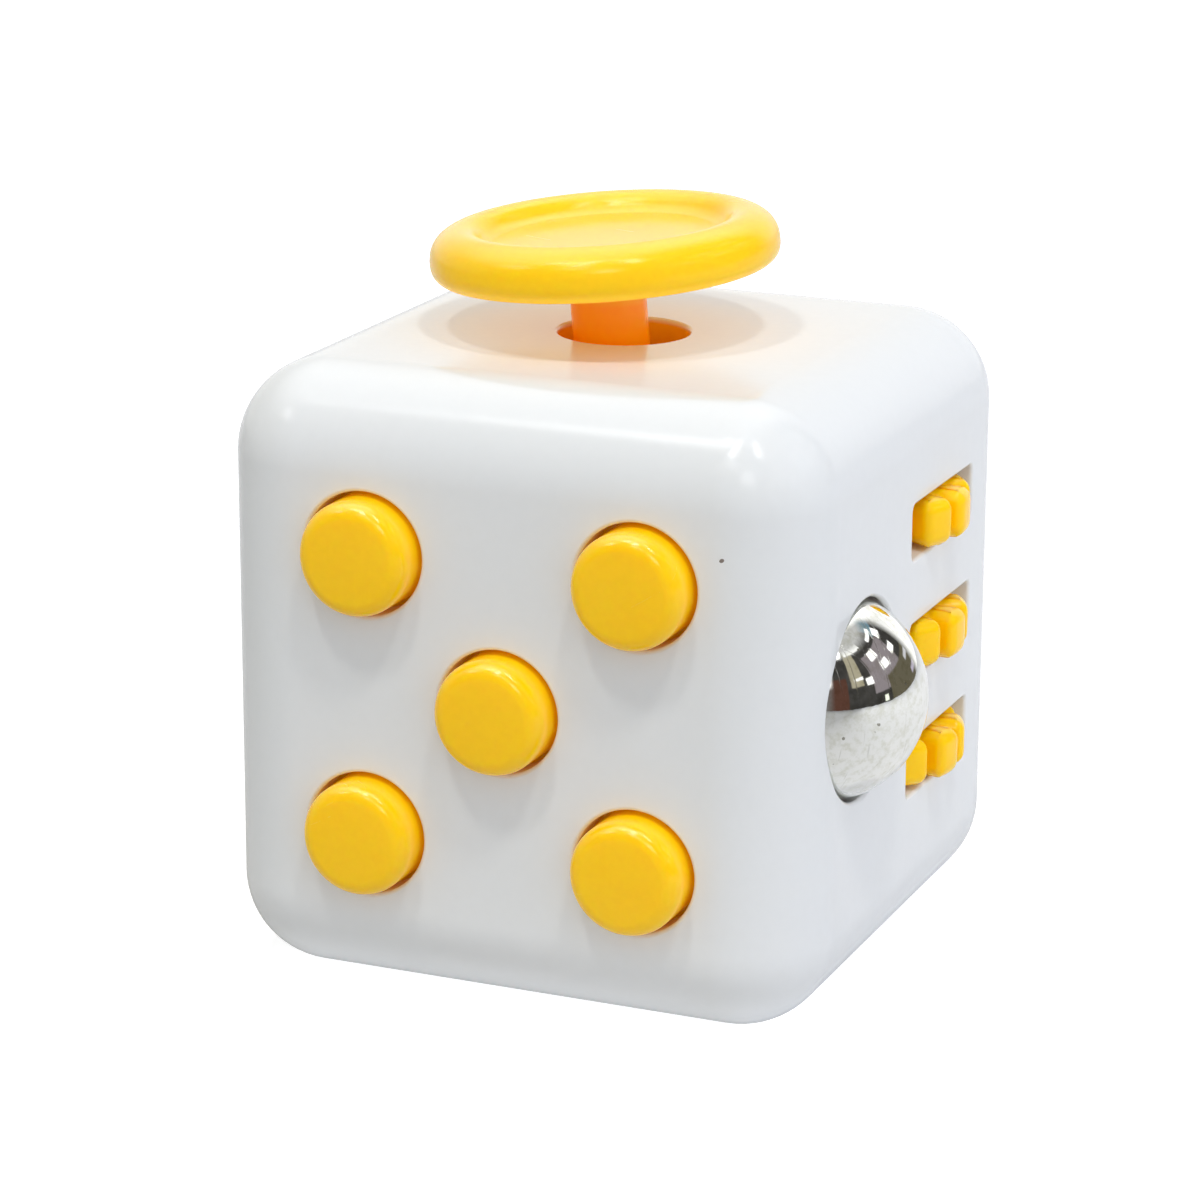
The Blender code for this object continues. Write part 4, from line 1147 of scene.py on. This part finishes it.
def gloss_colour(graph, x, y, z):
    """What glossy surfaces reflect: a pale sky with bright strips, and a dark room to the right."""
    azimuth = graph.times(graph.math("ARCTAN2", x, graph.times(y, -1)), 180 / math.pi)
    elevation = graph.times(graph.math("ARCSINE", z), 180 / math.pi)
    low = graph.ramp(z, 0.4, 0.8, 1.0, 0.0)
    behind = graph.times(graph.ramp(y, 0.1, 0.8), low)
    bright = graph.plus(graph.times(behind, GLOSS_BACK), GLOSS_BASE)
    before = graph.times(graph.ramp(y, -0.2, -0.7, 0.0, GLOSS_BEFORE), low)
    bright = graph.math("SUBTRACT", bright, before)
    above = graph.times(graph.ramp(z, 0.45, 0.85), graph.ramp(y, -0.5, -0.2))
    above = graph.times(above, graph.ramp(x, 0.0, 0.3, 1.0, 0.0))
    bright = graph.plus(graph.times(above, GLOSS_ABOVE), bright)
    for box, strength in GLOSS_STRIPS:
        strip = graph.times(direction_mask(graph, azimuth, elevation, box, 3.0), strength)
        bright = graph.plus(bright, strip)
    white = graph.add("CombineColor", {channel: bright for channel in range(3)})
    room = graph.mix(graph.noise(5.0, 4.0, 0.6), (0.015, 0.015, 0.014), (0.1, 0.095, 0.09))
    for box, colour in ROOM:
        room = graph.mix(direction_mask(graph, azimuth, elevation, box), room, colour)
    return graph.mix(direction_mask(graph, azimuth, elevation, ROOM_BOX, 5.0), white.outputs[0], room)


def either(graph, choice, one, two):
    """A mix of two shaders: two where choice is 1, one where it is 0."""
    return graph.add("MixShader", {0: choice, 1: one.outputs[0], 2: two.outputs[0]})


def make_world():
    """White for the camera, a soft even sky for matt light, and its own surroundings for gloss."""
    world = bpy.data.worlds.new("studio")
    world.use_nodes = True
    bpy.context.scene.world = world
    world.node_tree.nodes.clear()
    graph = Graph(world.node_tree)
    graph.coordinates = world.node_tree.nodes[0].outputs["Generated"]
    x, y, z = graph.split(graph.coordinates)
    tint = graph.mix(graph.ramp(x, -0.2, 0.7), SKY_TINT_LEFT, SKY_TINT_RIGHT)
    soft = graph.add("Background", {"Color": tint, "Strength": sky_level(graph, x, y, z)})
    gloss = graph.add("Background", {"Color": gloss_colour(graph, x, y, z)})
    plain = graph.add("Background", {"Color": (1, 1, 1, 1)})
    ray = graph.add("LightPath", {}).outputs
    lit = either(graph, ray["Is Glossy Ray"], soft, gloss)
    seen = either(graph, ray["Is Camera Ray"], lit, plain)
    graph.add("OutputWorld", {"Surface": seen.outputs[0]})


def make_floor():
    """Pale paper, darker towards the front left in what it bounces.

    Light from below passes it, and so does bounced light that starts close to it.
    """
    bm = bmesh.new()
    bmesh.ops.create_circle(bm, cap_ends=True, segments=96, radius=FLOOR_RADIUS)
    mesh = bpy.data.meshes.new("floor")
    bm.to_mesh(mesh)
    bm.free()
    floor = bpy.data.objects.new("floor", mesh)
    floor.location.z = -FLOOR_DROP
    bpy.context.scene.collection.objects.link(floor)
    material, graph, shader = new_material("floor_paper", (0.7, 0.7, 0.7), 0.9)
    values = {"Specular IOR Level": 0.0, "Emission Color": (1, 1, 1, 1), "Emission Strength": FLOOR_GLOW}
    graph.fill(shader, values)
    x, y, _ = graph.split(graph.coordinates)
    along = graph.times(x, FLOOR_SLOPE[0])
    along = graph.plus(along, graph.times(y, FLOOR_SLOPE[1]))
    near, middle, far = FLOOR_BOUNCE_AT
    first = graph.ramp(along, near, middle, FLOOR_BOUNCE[0], FLOOR_BOUNCE[1])
    level = graph.plus(first, graph.ramp(along, middle, far, 0.0, FLOOR_BOUNCE[2] - FLOOR_BOUNCE[1]))
    shade = graph.add("CombineColor", {channel: level for channel in range(3)})
    bounce = graph.add("BsdfDiffuse", {"Color": shade.outputs[0]})
    ray = graph.add("LightPath", {}).outputs
    seen = either(graph, ray["Is Camera Ray"], bounce, shader)
    short = graph.math("LESS_THAN", ray["Ray Length"], FLOOR_SEEN_FROM)
    short = graph.times(short, ray["Is Diffuse Ray"])
    backfacing = graph.add("NewGeometry", {}).outputs["Backfacing"]
    clear = graph.add("BsdfTransparent", {})
    sided = either(graph, graph.math("MAXIMUM", backfacing, short), seen, clear)
    graph.fill(graph.tree.nodes["Material Output"], {"Surface": sided.outputs[0]})
    mesh.materials.append(material)


def stage():
    scene = bpy.context.scene
    make_floor()
    make_world()
    for name, spot, size, power, tint in LAMPS:
        light = bpy.data.lights.new(name, "AREA")
        light.shape = "RECTANGLE"
        light.size, light.size_y = size
        light.energy = power
        light.color = tint
        lamp = bpy.data.objects.new(name, light)
        lamp.location = spot
        lamp.visible_glossy = False
        lamp.rotation_euler = (Vector(LAMP_TARGET) - Vector(spot)).to_track_quat("-Z", "Y").to_euler()
        scene.collection.objects.link(lamp)

    camera = bpy.data.cameras.new("camera")
    camera.lens = CAMERA_LENS
    camera.sensor_width = CAMERA_SENSOR
    camera.clip_start, camera.clip_end = CAMERA_CLIP
    eye = bpy.data.objects.new("camera", camera)
    right, up, ahead = Vector(CAMERA_RIGHT), Vector(CAMERA_UP), Vector(CAMERA_AHEAD)
    turn = Matrix((right, up, -ahead)).transposed().to_4x4()
    eye.matrix_world = Matrix.Translation(Vector(CAMERA_AT)) @ turn
    scene.collection.objects.link(eye)
    scene.camera = eye
    scene.view_settings.view_transform = "Standard"
    scene.view_settings.look = "None"


def main():
    white = white_plastic()
    yellow = yellow_plastic("toy_yellow_gloss", 0.002, 0.6, 0.45)[0]
    gear_yellow = yellow_plastic("gear_yellow_gloss", 0.0012, 0.4, 0.3)[0]
    metal = chrome()
    by_slot = {
        "shell_white": white,
        "toy_yellow": yellow,
        "ball_chrome": metal,
        "spring_steel": steel(),
        "frame_grey": grey_plastic(),
        "dome_rubber": rubber(),
    }
    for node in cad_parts.values():
        for place in node.material_slots:
            place.material = by_slot[place.material.name.split(".")[0]]
    front_shell(white)
    rear_shell(white)
    buttons(cap_plastic())
    domes(by_slot["spring_steel"], by_slot["dome_rubber"])
    wave_spring(by_slot["spring_steel"])
    ball(metal)
    gears(gear_yellow)
    stick(disc_plastic())
    rocker(yellow)
    dial(yellow)
    stage()


main()
